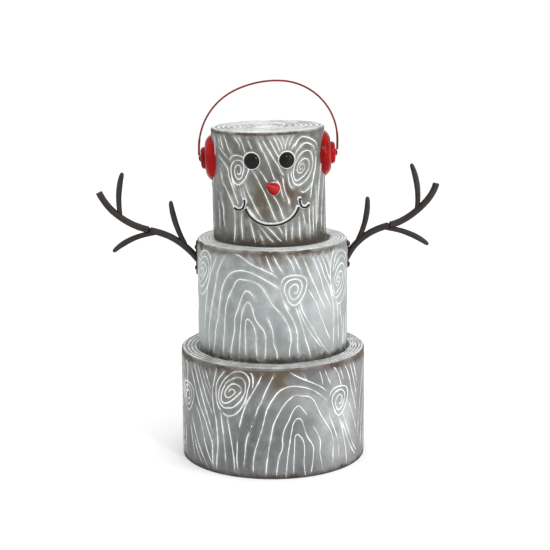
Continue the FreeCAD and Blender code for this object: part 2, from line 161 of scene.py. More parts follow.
class SnowmanSizes(bpy.types.PropertyGroup):
    """Sizes of the pressed pattern and of the forged surfaces."""

    ridge_width: length("Ridge half width", "From a grain line's crest to its foot", 1.5)
    ridge_height: length("Ridge height", "How far a grain line stands out of a band", 0.6)
    ring_height: length("Ring height", "How far a growth ring stands out of a lid", 0.4)
    hand_wobble: length("Hand wobble", "How far a drawn line wanders from its true course", 0.45)
    sheet_wave: length("Sheet wave", "Unevenness of a rolled band", 0.30)
    hammer_depth: length("Hammer marks", "Depth of the flats left on a forged rod", 0.28)
    rod_cell: length("Rod cell", "Size of the faces on a forged rod", 0.62)
    band_faces: IntProperty(
        name="Band faces", description="Faces on the largest band", default=95000, min=2000
    )


class SnowmanColours(bpy.types.PropertyGroup):
    """Colours of the finishes."""

    lower_dark: colour("Lower drum, dark", "Zinc where it is darkest", (0.104, 0.106, 0.108))
    lower_light: colour("Lower drum, light", "Zinc where it is lightest", (0.185, 0.190, 0.193))
    middle_dark: colour("Middle drum, dark", "Zinc where it is darkest", (0.205, 0.221, 0.222))
    middle_light: colour("Middle drum, light", "Zinc where it is lightest", (0.305, 0.328, 0.330))
    head_dark: colour("Head, dark", "Zinc where it is darkest", (0.078, 0.079, 0.073))
    head_light: colour("Head, light", "Zinc where it is lightest", (0.165, 0.170, 0.164))
    wash: colour("White wash", "Paint rubbed on the raised grain", (0.76, 0.78, 0.76))
    rust: colour("Rust", "Red-brown along the upper edges of the sheet", (0.064, 0.040, 0.026))
    # Soot brown is partly painted contact shade: it darkens a band's foot and a lid where the next drum stands
    # on it
    soot: colour("Soot brown", "Dark brown along the lower edges of the sheet", (0.034, 0.026, 0.020))
    stain: colour("Olive stain", "Olive stains on the zinc", (0.092, 0.078, 0.046))
    umber: colour("Brown stain", "Brown stains on the zinc", (0.076, 0.050, 0.032))
    red: colour("Ear muff red", "Gloss enamel of the muffs and caps", (0.36, 0.0022, 0.0026))
    # Painted shade: the deep patches stand in for the darker reflections in the gloss of the muffs and caps
    red_deep: colour("Ear muff red, deep", "Its darker patches", (0.17, 0.0010, 0.0014))
    nose: colour("Nose red", "Gloss enamel of the nose", (0.47, 0.005, 0.006))
    # Painted shade: the deep patches stand in for the darker reflections in the nose's gloss
    nose_deep: colour("Nose red, deep", "Its darker patches", (0.20, 0.002, 0.0025))
    hoop: colour("Headband red", "Paint of the hoop", (0.23, 0.013, 0.012))
    hoop_deep: colour("Headband red, deep", "Its darker patches", (0.13, 0.009, 0.008))
    pivot_deep: colour("Pivot red, deep", "Darker patches on the pivot screws", (0.10, 0.006, 0.006))
    arm: colour("Arm brown", "Paint of the arms", (0.012, 0.0088, 0.0072))
    arm_worn: colour("Arm brown, worn", "Where it is rubbed thin", (0.030, 0.022, 0.018))
    bare: colour("Bare rod", "Specks of metal through the paint", (0.11, 0.095, 0.085))
    screw: colour("Screw black", "Paint of the arm plates' screws", (0.02, 0.018, 0.017))
    screw_rust: colour("Screw rust", "Rust on the screws", (0.20, 0.10, 0.05))
    black: colour("Black", "Enamel of the eyes and the mouth", (0.0035, 0.0035, 0.0034))
    eye_worn: colour("Eye black, worn", "Its paler patches", (0.007, 0.007, 0.0065))
    mouth_worn: colour("Mouth black, worn", "Its paler patches", (0.010, 0.0095, 0.009))
    plated: colour("Plated hardware", "Zinc plate", (0.52, 0.52, 0.53))
    plated_warm: colour("Plated hardware, warm", "Yellow cast of the zinc plate", (0.62, 0.58, 0.48))
    floor: colour("Floor", "Studio floor", (0.95, 0.95, 0.95))


class SnowmanStage(bpy.types.PropertyGroup):
    """Camera and lights."""

    lens: FloatProperty(
        name="Lens", description="Focal length on a 36 mm frame, in millimetres", default=94.5
    )
    camera_x: length("Camera to the side", "Across the front of the snowman", 3.1)
    camera_back: length("Camera distance", "In front of the snowman's axis", 1765.4)
    camera_height: length("Camera height", "Above the floor", 607.7)
    pitch: FloatProperty(
        name="Pitch", description="Camera's tilt below level", default=math.radians(12.16), subtype="ANGLE"
    )
    roll: FloatProperty(
        name="Roll", description="Camera's turn about its view", default=math.radians(-0.325), subtype="ANGLE"
    )
    sky: FloatProperty(name="Surround", description="Strength of the white surround", default=1.08, min=0.0)
    key: power("Key", "Power of the large light", 21.0)
    glint: power("Glint", "Power of the small light", 9.0)
    fill: power("Fill", "Power of the fill light", 2.5)
    top: power("Top", "Power of the overhead light", 6.0)


# Node trees --------------------------------------------------------------------------------------

def add(tree, kind, inputs=None, **settings):
    """A node with its settings and inputs; an input that is a socket is linked."""
    node = tree.nodes.new(kind)
    for name, value in settings.items():
        setattr(node, name, value)
    for key, value in (inputs or {}).items():
        socket = node.inputs[key]
        if isinstance(value, bpy.types.NodeSocket):
            tree.links.new(value, socket)
        else:
            socket.default_value = value
    return node


def calc(tree, operation, a, b=0.0):
    """The result of a Math node."""
    return add(tree, "ShaderNodeMath", {0: a, 1: b}, operation=operation).outputs[0]


def vector_calc(tree, operation, a, b):
    """The result of a Vector Math node on two vectors."""
    return add(tree, "ShaderNodeVectorMath", {0: a, 1: b}, operation=operation).outputs[0]


def scaled(tree, vector, factor):
    return add(tree, "ShaderNodeVectorMath", {0: vector, "Scale": factor}, operation="SCALE").outputs[0]


def ramp(tree, value, start, end, low=0.0, high=1.0):
    """A smooth step from low at start to high at end."""
    inputs = {0: value, 1: start, 2: end, 3: low, 4: high}
    return add(tree, "ShaderNodeMapRange", inputs, interpolation_type="SMOOTHSTEP").outputs[0]


def noise(tree, vector, scale, detail=3.0, roughness=0.55):
    inputs = {"Vector": vector, "Scale": scale, "Detail": detail, "Roughness": roughness}
    return add(tree, "ShaderNodeTexNoise", inputs).outputs["Fac"]


def seeded_noise(tree, vector, seed, scale, detail):
    """The outputs of a noise that a seed changes."""
    inputs = {"Vector": vector, "W": seed, "Scale": scale, "Detail": detail}
    return add(tree, "ShaderNodeTexNoise", inputs, noise_dimensions="4D").outputs


def stretched(tree, vector, scale):
    return add(tree, "ShaderNodeMapping", {"Vector": vector, "Scale": scale}).outputs[0]


def blend(tree, share, a, b):
    """Two colours mixed."""
    node = add(tree, "ShaderNodeMix", data_type="RGBA")
    for socket, value in zip((node.inputs[0], node.inputs[6], node.inputs[7]), (share, a, b)):
        if isinstance(value, bpy.types.NodeSocket):
            tree.links.new(value, socket)
        elif isinstance(value, (int, float)):
            socket.default_value = value
        else:
            socket.default_value = (*value, 1.0)
    return node.outputs[2]


def new_group(name, inputs):
    """A geometry tree with a geometry input, named inputs and a geometry output."""
    tree = bpy.data.node_groups.new(name, "GeometryNodeTree")
    tree.interface.new_socket(name="Geometry", in_out="INPUT", socket_type="NodeSocketGeometry")
    for label, (kind, value) in inputs.items():
        item = tree.interface.new_socket(name=label, in_out="INPUT", socket_type=kind)
        if value is not None:
            item.default_value = value
    tree.interface.new_socket(name="Geometry", in_out="OUTPUT", socket_type="NodeSocketGeometry")
    return tree, tree.nodes.new("NodeGroupInput").outputs


def named_vector(tree, name):
    """A vector attribute of the geometry."""
    return add(tree, "GeometryNodeInputNamedAttribute", {"Name": name}, data_type="FLOAT_VECTOR").outputs[0]


def noted(tree, geometry, name, value, kind):
    """The geometry with a value stored on its points."""
    inputs = {"Geometry": geometry, "Name": name, "Value": value}
    return add(tree, "GeometryNodeStoreNamedAttribute", inputs, data_type=kind, domain="POINT").outputs[0]


def displaced(tree, geometry, direction, distance):
    inputs = {"Geometry": geometry, "Offset": scaled(tree, direction, distance)}
    return add(tree, "GeometryNodeSetPosition", inputs).outputs[0]


def end_group(tree, geometry, material):
    """Realize Instances, Set Material and the tree's output."""
    real = add(tree, "GeometryNodeRealizeInstances", {"Geometry": geometry}).outputs[0]
    dressed = add(tree, "GeometryNodeSetMaterial", {"Geometry": real, "Material": material}).outputs[0]
    add(tree, "NodeGroupOutput", {0: dressed})


def modified(obj, tree, values):
    """The object with a tree on it, its inputs set by their identifiers."""
    modifier = obj.modifiers.new(tree.name, "NODES")
    modifier.node_group = tree
    for item in tree.interface.items_tree:
        if item.in_out == "INPUT" and item.name in values:
            modifier[item.identifier] = values[item.name]
    return obj


def press_tree():
    """Presses drawn lines out of a sheet. The sheet's flat place and pressing direction are attributes."""
    tree, given = new_group("Press grain", {
        "Drawing": ("NodeSocketObject", None),
        "Half width": ("NodeSocketFloat", 0.001),
        "Height": ("NodeSocketFloat", 0.001),
        "Wobble": ("NodeSocketFloat", 0.0),
        "Wave": ("NodeSocketFloat", 0.0),
        "Seed": ("NodeSocketFloat", 0.0),
        "Material": ("NodeSocketMaterial", None),
    })
    flat = named_vector(tree, "flat")
    wander = seeded_noise(tree, flat, given["Seed"], 120.0, 2.0)["Color"]
    wander = vector_calc(tree, "SUBTRACT", wander, (0.5, 0.5, 0.5))
    level = vector_calc(tree, "MULTIPLY", wander, (2.0, 2.0, 0.0))
    place = vector_calc(tree, "ADD", flat, scaled(tree, level, given["Wobble"]))
    drawing = add(tree, "GeometryNodeObjectInfo", {"Object": given["Drawing"]}, transform_space="ORIGINAL")
    lines = add(tree, "GeometryNodeCurveToMesh", {"Curve": drawing.outputs["Geometry"]}).outputs[0]
    near = add(tree, "GeometryNodeProximity", {0: lines, "Sample Position": place}, target_element="EDGES")
    swell = seeded_noise(tree, flat, given["Seed"], 55.0, 1.0)["Fac"]
    width = calc(tree, "MULTIPLY", given["Half width"], ramp(tree, swell, 0.3, 0.7, 0.66, 1.3))
    share = calc(tree, "DIVIDE", near.outputs["Distance"], width)
    aside = vector_calc(tree, "SUBTRACT", place, near.outputs["Position"])
    across = scaled(tree, aside, calc(tree, "DIVIDE", 1.0, width))
    rise = calc(tree, "MULTIPLY", ramp(tree, share, 0.15, 1.0, 1.0, 0.0), given["Height"])
    wave = seeded_noise(tree, flat, given["Seed"], 22.0, 1.0)["Fac"]
    swing = calc(tree, "MULTIPLY", calc(tree, "SUBTRACT", wave, 0.62), given["Wave"])
    pressed = displaced(tree, given["Geometry"], named_vector(tree, "press"), calc(tree, "ADD", rise, swing))
    pressed = noted(tree, pressed, "grain", share, "FLOAT")
    pressed = noted(tree, pressed, "across", across, "FLOAT_VECTOR")
    end_group(tree, pressed, given["Material"])
    return tree


def forge_tree():
    """Hammers flats and small dents into a rod, along its own normals."""
    tree, given = new_group("Forge", {
        "Depth": ("NodeSocketFloat", 0.0003),
        "Flat size": ("NodeSocketFloat", 120.0),
        "Seed": ("NodeSocketFloat", 0.0),
        "Material": ("NodeSocketMaterial", None),
    })
    place = tree.nodes.new("GeometryNodeInputPosition").outputs[0]
    normal = tree.nodes.new("GeometryNodeInputNormal").outputs[0]
    cell_inputs = {"Vector": place, "W": given["Seed"], "Scale": given["Flat size"]}
    cells = add(tree, "ShaderNodeTexVoronoi", cell_inputs, voronoi_dimensions="4D", feature="SMOOTH_F1")
    flats = calc(tree, "SUBTRACT", cells.outputs["Distance"], 0.55)
    dents = seeded_noise(tree, place, given["Seed"], 420.0, 2.0)["Fac"]
    small = calc(tree, "MULTIPLY", calc(tree, "SUBTRACT", dents, 0.6), 0.5)
    depth = calc(tree, "MULTIPLY", calc(tree, "ADD", flats, small), given["Depth"])
    hammered = displaced(tree, given["Geometry"], normal, depth)
    smooth = add(tree, "GeometryNodeSetShadeSmooth", {0: hammered}).outputs[0]
    end_group(tree, smooth, given["Material"])
    return tree


def scatter_tree():
    """Sets one small part on each point of a mesh, turned to the point's normal attribute."""
    tree, given = new_group("Set parts on points", {
        "Part": ("NodeSocketObject", None),
        "Material": ("NodeSocketMaterial", None),
    })
    facing = named_vector(tree, "facing")
    turn = add(tree, "FunctionNodeAlignRotationToVector", {"Vector": facing}, axis="Z").outputs[0]
    part = add(tree, "GeometryNodeObjectInfo", {"Object": given["Part"]}, transform_space="ORIGINAL")
    set_out = add(tree, "GeometryNodeInstanceOnPoints", {
        "Points": given["Geometry"], "Instance": part.outputs["Geometry"], "Rotation": turn,
    }).outputs[0]
    end_group(tree, set_out, given["Material"])
    return tree


# Meshes ------------------------------------------------------------------------------------------

def new_object(name, data):
    obj = bpy.data.objects.new(name, data)
    bpy.context.scene.collection.objects.link(obj)
    return obj


def mesh_object(name, points, faces):
    mesh = bpy.data.meshes.new(name)
    mesh.from_pydata([tuple(p) for p in points], [], faces)
    mesh.update()
    return new_object(name, mesh)


def discard(obj):
    data = obj.data
    bpy.data.objects.remove(obj)
    if isinstance(data, bpy.types.Mesh):
        bpy.data.meshes.remove(data)
    elif isinstance(data, bpy.types.Curve):
        bpy.data.curves.remove(data)


def store(mesh, name, kind, values):
    attribute = mesh.attributes.new(name, kind, "POINT")
    field = "vector" if kind == "FLOAT_VECTOR" else "value"
    attribute.data.foreach_set(field, np.asarray(values, np.float32).ravel())


def settled(obj, name, sharp_angle=40.0):
    """What an object's modifiers make, as a plain mesh in a new object; the old one goes."""
    graph = bpy.context.evaluated_depsgraph_get()
    mesh = bpy.data.meshes.new_from_object(obj.evaluated_get(graph), depsgraph=graph)
    if not mesh.polygons:
        raise RuntimeError(name + " came out empty")
    discard(obj)
    mesh.name = name
    mesh.shade_smooth()
    mesh.set_sharp_from_angle(angle=math.radians(sharp_angle))
    return new_object(name, mesh)


def dressed(obj, material):
    obj.data.materials.clear()
    obj.data.materials.append(material)
    return obj


def fitted(piece, slot, *nodes, body=FIXED_BODY):
    """The finished piece on its body, in the place of its CAD nodes."""
    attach(piece, body)
    if nodes:
        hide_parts(*nodes)
    return piece


def ring_faces(rows, columns, wrap_rows):
    """Quads between rings of points, facing out where each ring lies above the one before it."""
    row = np.arange(rows if wrap_rows else rows - 1)[:, None] * columns
    above = (row + columns) % (rows * columns)
    column = np.arange(columns)[None, :]
    beside = (column + 1) % columns
    return np.stack([row + column, row + beside, above + beside, above + column], -1).reshape(-1, 4)


def turned(profile, columns):
    """Points and faces of a closed turning about Z. The profile runs from the lower pole to the upper
    pole, and both poles are on the axis."""
    angles = -math.pi + 2 * math.pi * np.arange(columns) / columns
    rings = np.array([[(r * math.sin(a), -r * math.cos(a), z) for a in angles] for r, z in profile[1:-1]])
    faces = ring_faces(len(rings), columns, False).tolist()
    points = rings.reshape(-1, 3)
    foot, tip = len(points), len(points) + 1
    points = np.vstack([points, [(0, 0, profile[0][1])], [(0, 0, profile[-1][1])]])
    last = (len(rings) - 1) * columns
    for j in range(columns):
        k = (j + 1) % columns
        faces.append((foot, k, j))
        faces.append((last + j, last + k, tip))
    return points, faces


def rounded(corner_a, corner_b, bulge, steps):
    """Points between two profile corners, bulging along a quarter ellipse towards bulge."""
    a, b, c = (np.array(p, float) for p in (corner_a, corner_b, bulge))
    t = np.linspace(0, math.pi / 2, steps + 1)[1:-1]
    centre = a + b - c
    return [tuple(centre + (a - centre) * math.cos(x) + (b - centre) * math.sin(x)) for x in t]


def steps_between(start, end, size):
    """Evenly spaced values from start towards end, without the last."""
    count = max(1, round(abs(end - start) / size))
    return np.linspace(start, end, count + 1)[:-1]


# Grain lines -------------------------------------------------------------------------------------
# Each point is (arc round the band from its front, height above its foot), in millimetres.

LINE_FREE_EDGE = 2.0       # lines stop this short of a band's edges

KNOT = [
    (-16, 96), (-13, 104), (-6, 107.5), (4, 107.5), (12, 105), (16, 99), (15, 90), (11, 81), (6, 74.5),
    (0, 71.5),
    (-5, 74), (-9, 82), (-12, 92), (-9, 99.5), (-2, 103), (6, 102), (10, 96), (8, 87), (3, 80), (-1, 78.5),
    (-5, 83), (-6, 90), (-2, 96), (3, 96.5), (5, 91), (2, 86), (-1, 87),
]
LEANING_SPIRAL = [
    (-2, -1.6), (-1, 2), (1.4, 4), (4.6, 3.4), (6.2, 0.5), (4, -2), (0.6, -5), (-4.2, -7), (-7, -5),
    (-7.4, -1.3),
    (-5.4, 2.6), (-1.8, 7.4), (2, 10.6), (6.2, 11.2), (11, 9.4), (13.8, 6.6), (14.2, 2.6), (11, -1.4),
    (7, -5.4),
    (3, -9), (-1.8, -12.5), (-6.6, -14.4), (-10, -14.4), (-12.5, -11.7), (-13, -7), (-11.7, -1.4), (-9, 5),
    (-5, 11.4), (-0.2, 15.3), (4.5, 18), (10, 19.7), (15, 19), (18, 16), (19.6, 11.4), (19.6, 5.8),
    (18.4, 0.3),
    (16, -4.5), (12.5, -10), (7.7, -14.8), (2.2, -18.8), (-3.4, -20), (-8.2, -20.4), (-11.7, -18.8),
    (-15.3, -14.8),
    (-16.6, -9.3), (-16.1, -2), (-15, 2.6), (-12, 9), (-8.2, 14.5), (-3.4, 19.3), (2.2, 24), (7, 26.4),
    (12.5, 27.2),
    (17.2, 26.4), (22, 22.5), (24.4, 17.7), (24.5, 12), (22.8, 5.8), (21, -2), (19.6, -7.7), (16.5, -14),
    (12.5, -20.4), (7, -26), (2.2, -28.7), (-3.4, -30), (-7.4, -29), (-11, -26.7),
]
ROUND_SPIRAL = [
    (0.5, 0), (0.6, -1.6), (-1, -2.7), (-3, -2), (-3.5, 0.2), (-2, 2.6), (1, 4), (3.4, 3), (4, 0), (3, -3),
    (0.5, -5.4), (-3, -6.6), (-5.6, -5.5), (-7, -3), (-6.5, 0.6), (-4, 5), (-1, 8), (3.5, 10), (7, 9.5),
    (10.5, 7),
    (11.6, 3.5), (11, -1), (8.5, -5), (5, -8.5), (1, -11.4), (-3, -13.5), (-6.5, -15), (-9, -15),
    (-11, -12),
    (-12, -7), (-11.2, 0), (-9, 6), (-5.5, 12), (-1, 16.5), (3, 18.6), (8, 19.5), (13, 18), (16.5, 14),
    (18, 9),
    (18, 3), (16.5, -3), (13, -9), (8, -14), (3, -17.5), (-2, -20), (-7, -20.8), (-11, -18.5), (-13.5, -14),
    (-15, -8), (-14.5, -1),
]
ROUND_SPIRAL_OUTLINE = [
    [(-10, 13), (-7.5, 19), (-4, 23), (1, 27), (7, 28.7), (13, 27), (18, 24.5), (22.5, 20)],
    [(-9.5, 24), (-8, 29), (-4, 34), (1, 36.3), (8, 35.5), (14, 33.5), (20, 30.5), (25, 27), (28, 22)],
    [(25, 16), (24, 4), (22.5, -4), (20, -12), (17, -19), (13, -24.5), (7, -28.3), (1, -30), (-3, -28.5)],
]

ARCHES = [
    [(-110, 3), (-106, 18), (-104, 35), (-99, 52), (-96, 70), (-93, 85), (-86, 100), (-78, 109), (-66, 113),
     (-54, 112), (-40, 106), (-26, 98), (-18, 92)],
    [(-92, 3), (-90, 25), (-88, 45), (-87, 60), (-84, 74), (-76, 90), (-68, 102), (-62, 102.5), (-48, 100),
     (-40, 95), (-33, 85), (-26, 73), (-16, 61), (-10, 52), (-6, 42), (-4, 28), (-6, 15), (-6, 5)],
    [(-80, 3), (-78, 20), (-74, 38), (-73, 55), (-68, 68), (-64, 80), (-60, 87), (-57, 89), (-52, 86),
     (-46, 78)],
    [(-68, 3), (-67, 25), (-65, 50), (-63, 63), (-59, 72), (-56, 75), (-52, 71), (-48, 58), (-44, 50),
     (-37, 41), (-35, 35), (-35, 15), (-36, 4)],
    [(-59, 3), (-59.5, 25), (-59, 48), (-57, 54), (-54, 53), (-49, 46), (-47, 38), (-46, 20), (-45, 3)],
    [(-33, 58), (-29, 49), (-26, 40), (-25, 25), (-21, 12), (-21, 5)],
]
STREAKS_OVER_ARCHES = [
    [(-87, 129), (-94, 118), (-100, 104), (-104, 86), (-110, 68), (-115, 50), (-118, 30), (-118, 5)],
    [(-99, 131), (-105, 118), (-112, 105), (-118, 90), (-123, 72), (-127, 50), (-129, 20)],
    [(-74, 136), (-64, 130), (-52, 122), (-38, 116), (-26, 110), (-17, 103)],
    [(-56, 134), (-48, 122)],
    [(-44, 134), (-38, 118)],
    [(-34, 134), (-29, 120), (-25, 111)],
    [(-25, 134), (-20, 122), (-12, 109)],
    [(-10, 135), (-3, 122), (1, 110)],
    [(-2, 134), (4, 122), (9, 110)],
]
STREAKS_RIGHT_OF_KNOT = [
    [(10, 131), (16, 118), (22, 104), (30, 88), (38, 72), (46, 58)],
    [(21, 134), (28, 120), (36, 102), (42, 84), (50, 70), (58, 52)],
    [(28, 134), (36, 118), (44, 100), (52, 85), (54, 75)],
    [(34, 136), (42, 120), (48, 105), (53, 95)],
    [(40, 136), (47, 122), (53, 108)],
    [(44, 136), (50, 122), (53, 114)],
    [(50, 136), (54, 120)],
    [(60, 135), (56, 122), (54, 106)],
    [(65, 132), (60, 116), (57, 100)],
]
STREAKS_BELOW_KNOT = [
    [(-16, 88), (-10, 68), (-4, 58), (1, 47), (4, 35), (4, 20), (6, 8)],
    [(-14, 80), (-9, 70), (-6, 66)],
    [(1, 70), (5, 60), (10, 45), (14, 30), (18, 18), (22, 4)],
    [(7, 77), (10, 66), (18, 50), (26, 38), (36, 22), (48, 8), (53, 4)],
    [(4, 72), (10, 56), (18, 40), (30, 24), (42, 10)],
    [(18, 90), (24, 80), (31, 68), (36, 55), (42, 42), (48, 30), (56, 15)],
    [(28, 17), (31, 5)],
]
SPINE_AND_FOOT_OF_SPIRAL = [
    [(59, 134), (53, 118), (53, 100), (55, 80), (59, 60), (60, 45), (59, 20), (57, 3)],
    [(65, 70), (68, 60), (69, 48), (70, 30), (72, 12)],
    [(74, 62), (76, 52), (80, 40), (82, 22), (84, 3)],
    [(86, 60), (87, 20), (89, 3)],
    [(97, 48), (97, 25), (94, 10)],
    [(103, 130), (108, 126), (108, 118), (106, 100), (99, 80), (93, 62)],
]

LOWER_LINES = [
    [(-24, 2.4), (-24.7, 16.8), (-23.2, 30.4), (-19.4, 44), (-15.6, 56.2), (-12.6, 66.8), (-9.5, 80.4),
     (-6.5, 89.5), (0.3, 101.6), (7.9, 110.7), (15.5, 114.5), (23, 115.7), (33.6, 114.5), (41.2, 112.2),
     (50.3, 107.7), (57.9, 102.4), (65.5, 95.6), (69.2, 92.5)],
    [(-9.5, 2.4), (-8, 19.8), (-5.8, 35), (-2.7, 53.2), (0.3, 68.3), (6.4, 82), (13.9, 94), (21.5, 101.6),
     (26.8, 104.4), (35.2, 102.8), (44.2, 100.9), (50.3, 95.6), (54.8, 86.5), (59.4, 77.4), (67, 65.3),
     (74.5, 53.2), (78.3, 41), (78.3, 22.8), (77.6, 3.2)],
    [(3.3, 2.4), (4.8, 16.8), (7.1, 28.9), (10.9, 39.5), (10.9, 51.6), (13.2, 62.2), (19.2, 74.4),
     (23, 83.5),
     (27.6, 89.5), (30.6, 91), (35.2, 87.2), (39, 82), (42.7, 75.9)],
    [(14.7, 2.4), (16.2, 16.8), (17.7, 31.9), (20, 47), (22.3, 60.7), (24.5, 69.8), (29, 75), (32.9, 74.4),
     (36.7, 66.8), (39.7, 56.2), (44.2, 47), (49.5, 38), (49.5, 25.9), (48, 12.2), (46.5, 3.9)],
    [(24.5, 2.4), (24.5, 16.8), (25.3, 31.9), (26, 47), (26.8, 53.9), (29, 55.4), (32.9, 52.4),
     (36.7, 45.6),
     (38.2, 35), (37.4, 19.8), (39, 3.2)],
    [(47.3, 67.5), (51.8, 59.2), (56.4, 51.6), (59.4, 41), (58.6, 28.9), (60.9, 16.8), (62.4, 3.2)],
    [(20.8, 132.7), (30.6, 126.6), (41.2, 121.3), (50.3, 116.8), (60.9, 110.7), (70, 103.2)],
    [(34.4, 134.2), (41.2, 122.8)],
    [(46.5, 134.2), (51, 119.8)],
    [(57, 134.2), (60.9, 122.8), (64, 109.2)],
    [(64.7, 134.2), (70, 121.3), (76, 109.2)],
    [(79, 135), (85.2, 125.9), (90.5, 112.2), (92, 107.7)],
    [(87.4, 135), (92.7, 122.8), (97.3, 109.2)],
    [(97.3, 135), (106.4, 118.3), (112.4, 100), (120, 80.4), (127.6, 62.2)],
    [(108, 134), (114, 120), (121, 102), (127, 86)],
    [(116, 134), (122, 118), (128, 102)],
    [(71.5, 82), (73.8, 69.8), (79.8, 56.2), (84.4, 44), (87.4, 32), (88.2, 7.7)],
    [(86.7, 69.8), (92.7, 56.2), (97.3, 39.5), (101.8, 19.8), (103.3, 3.2)],
    [(93.5, 75.9), (100.3, 59.2), (107.9, 44), (115.5, 28.9), (126, 15.3)],
    [(90.5, 68.3), (98.8, 50), (106.4, 33.5), (115.5, 19.8), (126, 7.7)],
    [(104, 86.5), (111, 74.4), (120, 56.2), (127.6, 39.5)],
    [(-58.6, 134), (-62.9, 128.5), (-67.3, 122.9), (-70.5, 118.2), (-72.9, 111.8), (-73.7, 103.9),
     (-73.3, 96.7),
     (-72, 90.4), (-69.7, 84.8), (-66.5, 81.7)],
    [(-72, 134), (-74, 126), (-75.6, 119.7), (-77.6, 111.8), (-78.8, 103), (-78.8, 93.6), (-78, 84),
     (-76, 76),
     (-74, 66.6), (-73, 58), (-72, 46), (-72, 34), (-73.5, 20), (-75, 4)],
    [(-28, 133.6), (-25.2, 130), (-24, 124.5), (-24, 118.2), (-25.2, 111)],
    [(-12.6, 132), (-17.9, 119.8), (-24, 109), (-31.5, 95.6), (-36.8, 82), (-40.6, 68.3), (-42, 62.2)],
    [(1, 130.4), (-4.2, 119.8), (-9.5, 109.2), (-13.3, 98.6), (-18.6, 88), (-22, 76)],
    [(-24, 71.3), (-27.7, 61.5)],
    [(-29.2, 59), (-33, 47), (-34.5, 32), (-36.8, 13.8)],
    [(-123, 129), (-116.4, 113.8), (-108.8, 94), (-101, 77.4), (-93.6, 66.8), (-86, 50), (-80, 35)],
    [(-113.3, 130.4), (-104.2, 109.2), (-95.2, 88), (-89, 72.8), (-80, 50)],
    [(-105.8, 132), (-96.7, 110.7), (-87.6, 89.5), (-79.6, 74.4)],
    [(-99, 132), (-90.6, 112.2), (-80.8, 94)],
    [(-92, 132), (-86, 115.3), (-80, 101.6)],
    [(-84.5, 132), (-80, 118.3)],
    [(-111.8, 79.7), (-104.2, 68.3), (-98.2, 53), (-93.6, 35), (-86, 18.3), (-80, 7.7)],
    [(-121, 60.7), (-113.3, 44), (-105.8, 29), (-96.7, 15.3), (-87.6, 3)],
    [(-116.4, 38), (-110.3, 22.8), (-98.2, 4.7)],
    [(-125.5, 53), (-121, 32), (-114.8, 9)],
    [(-67, 79.7), (-64.8, 62.2), (-62.6, 44), (-60.3, 9)],
    [(-58, 75.9), (-55, 59.2), (-52, 41), (-49, 19.8), (-48.2, 3.2)],
    [(-44.4, 52), (-44.8, 36), (-45.2, 22.8), (-43.6, 3.2)],
    [(-80, 40), (-80.5, 22), (-80, 4.7)],
]
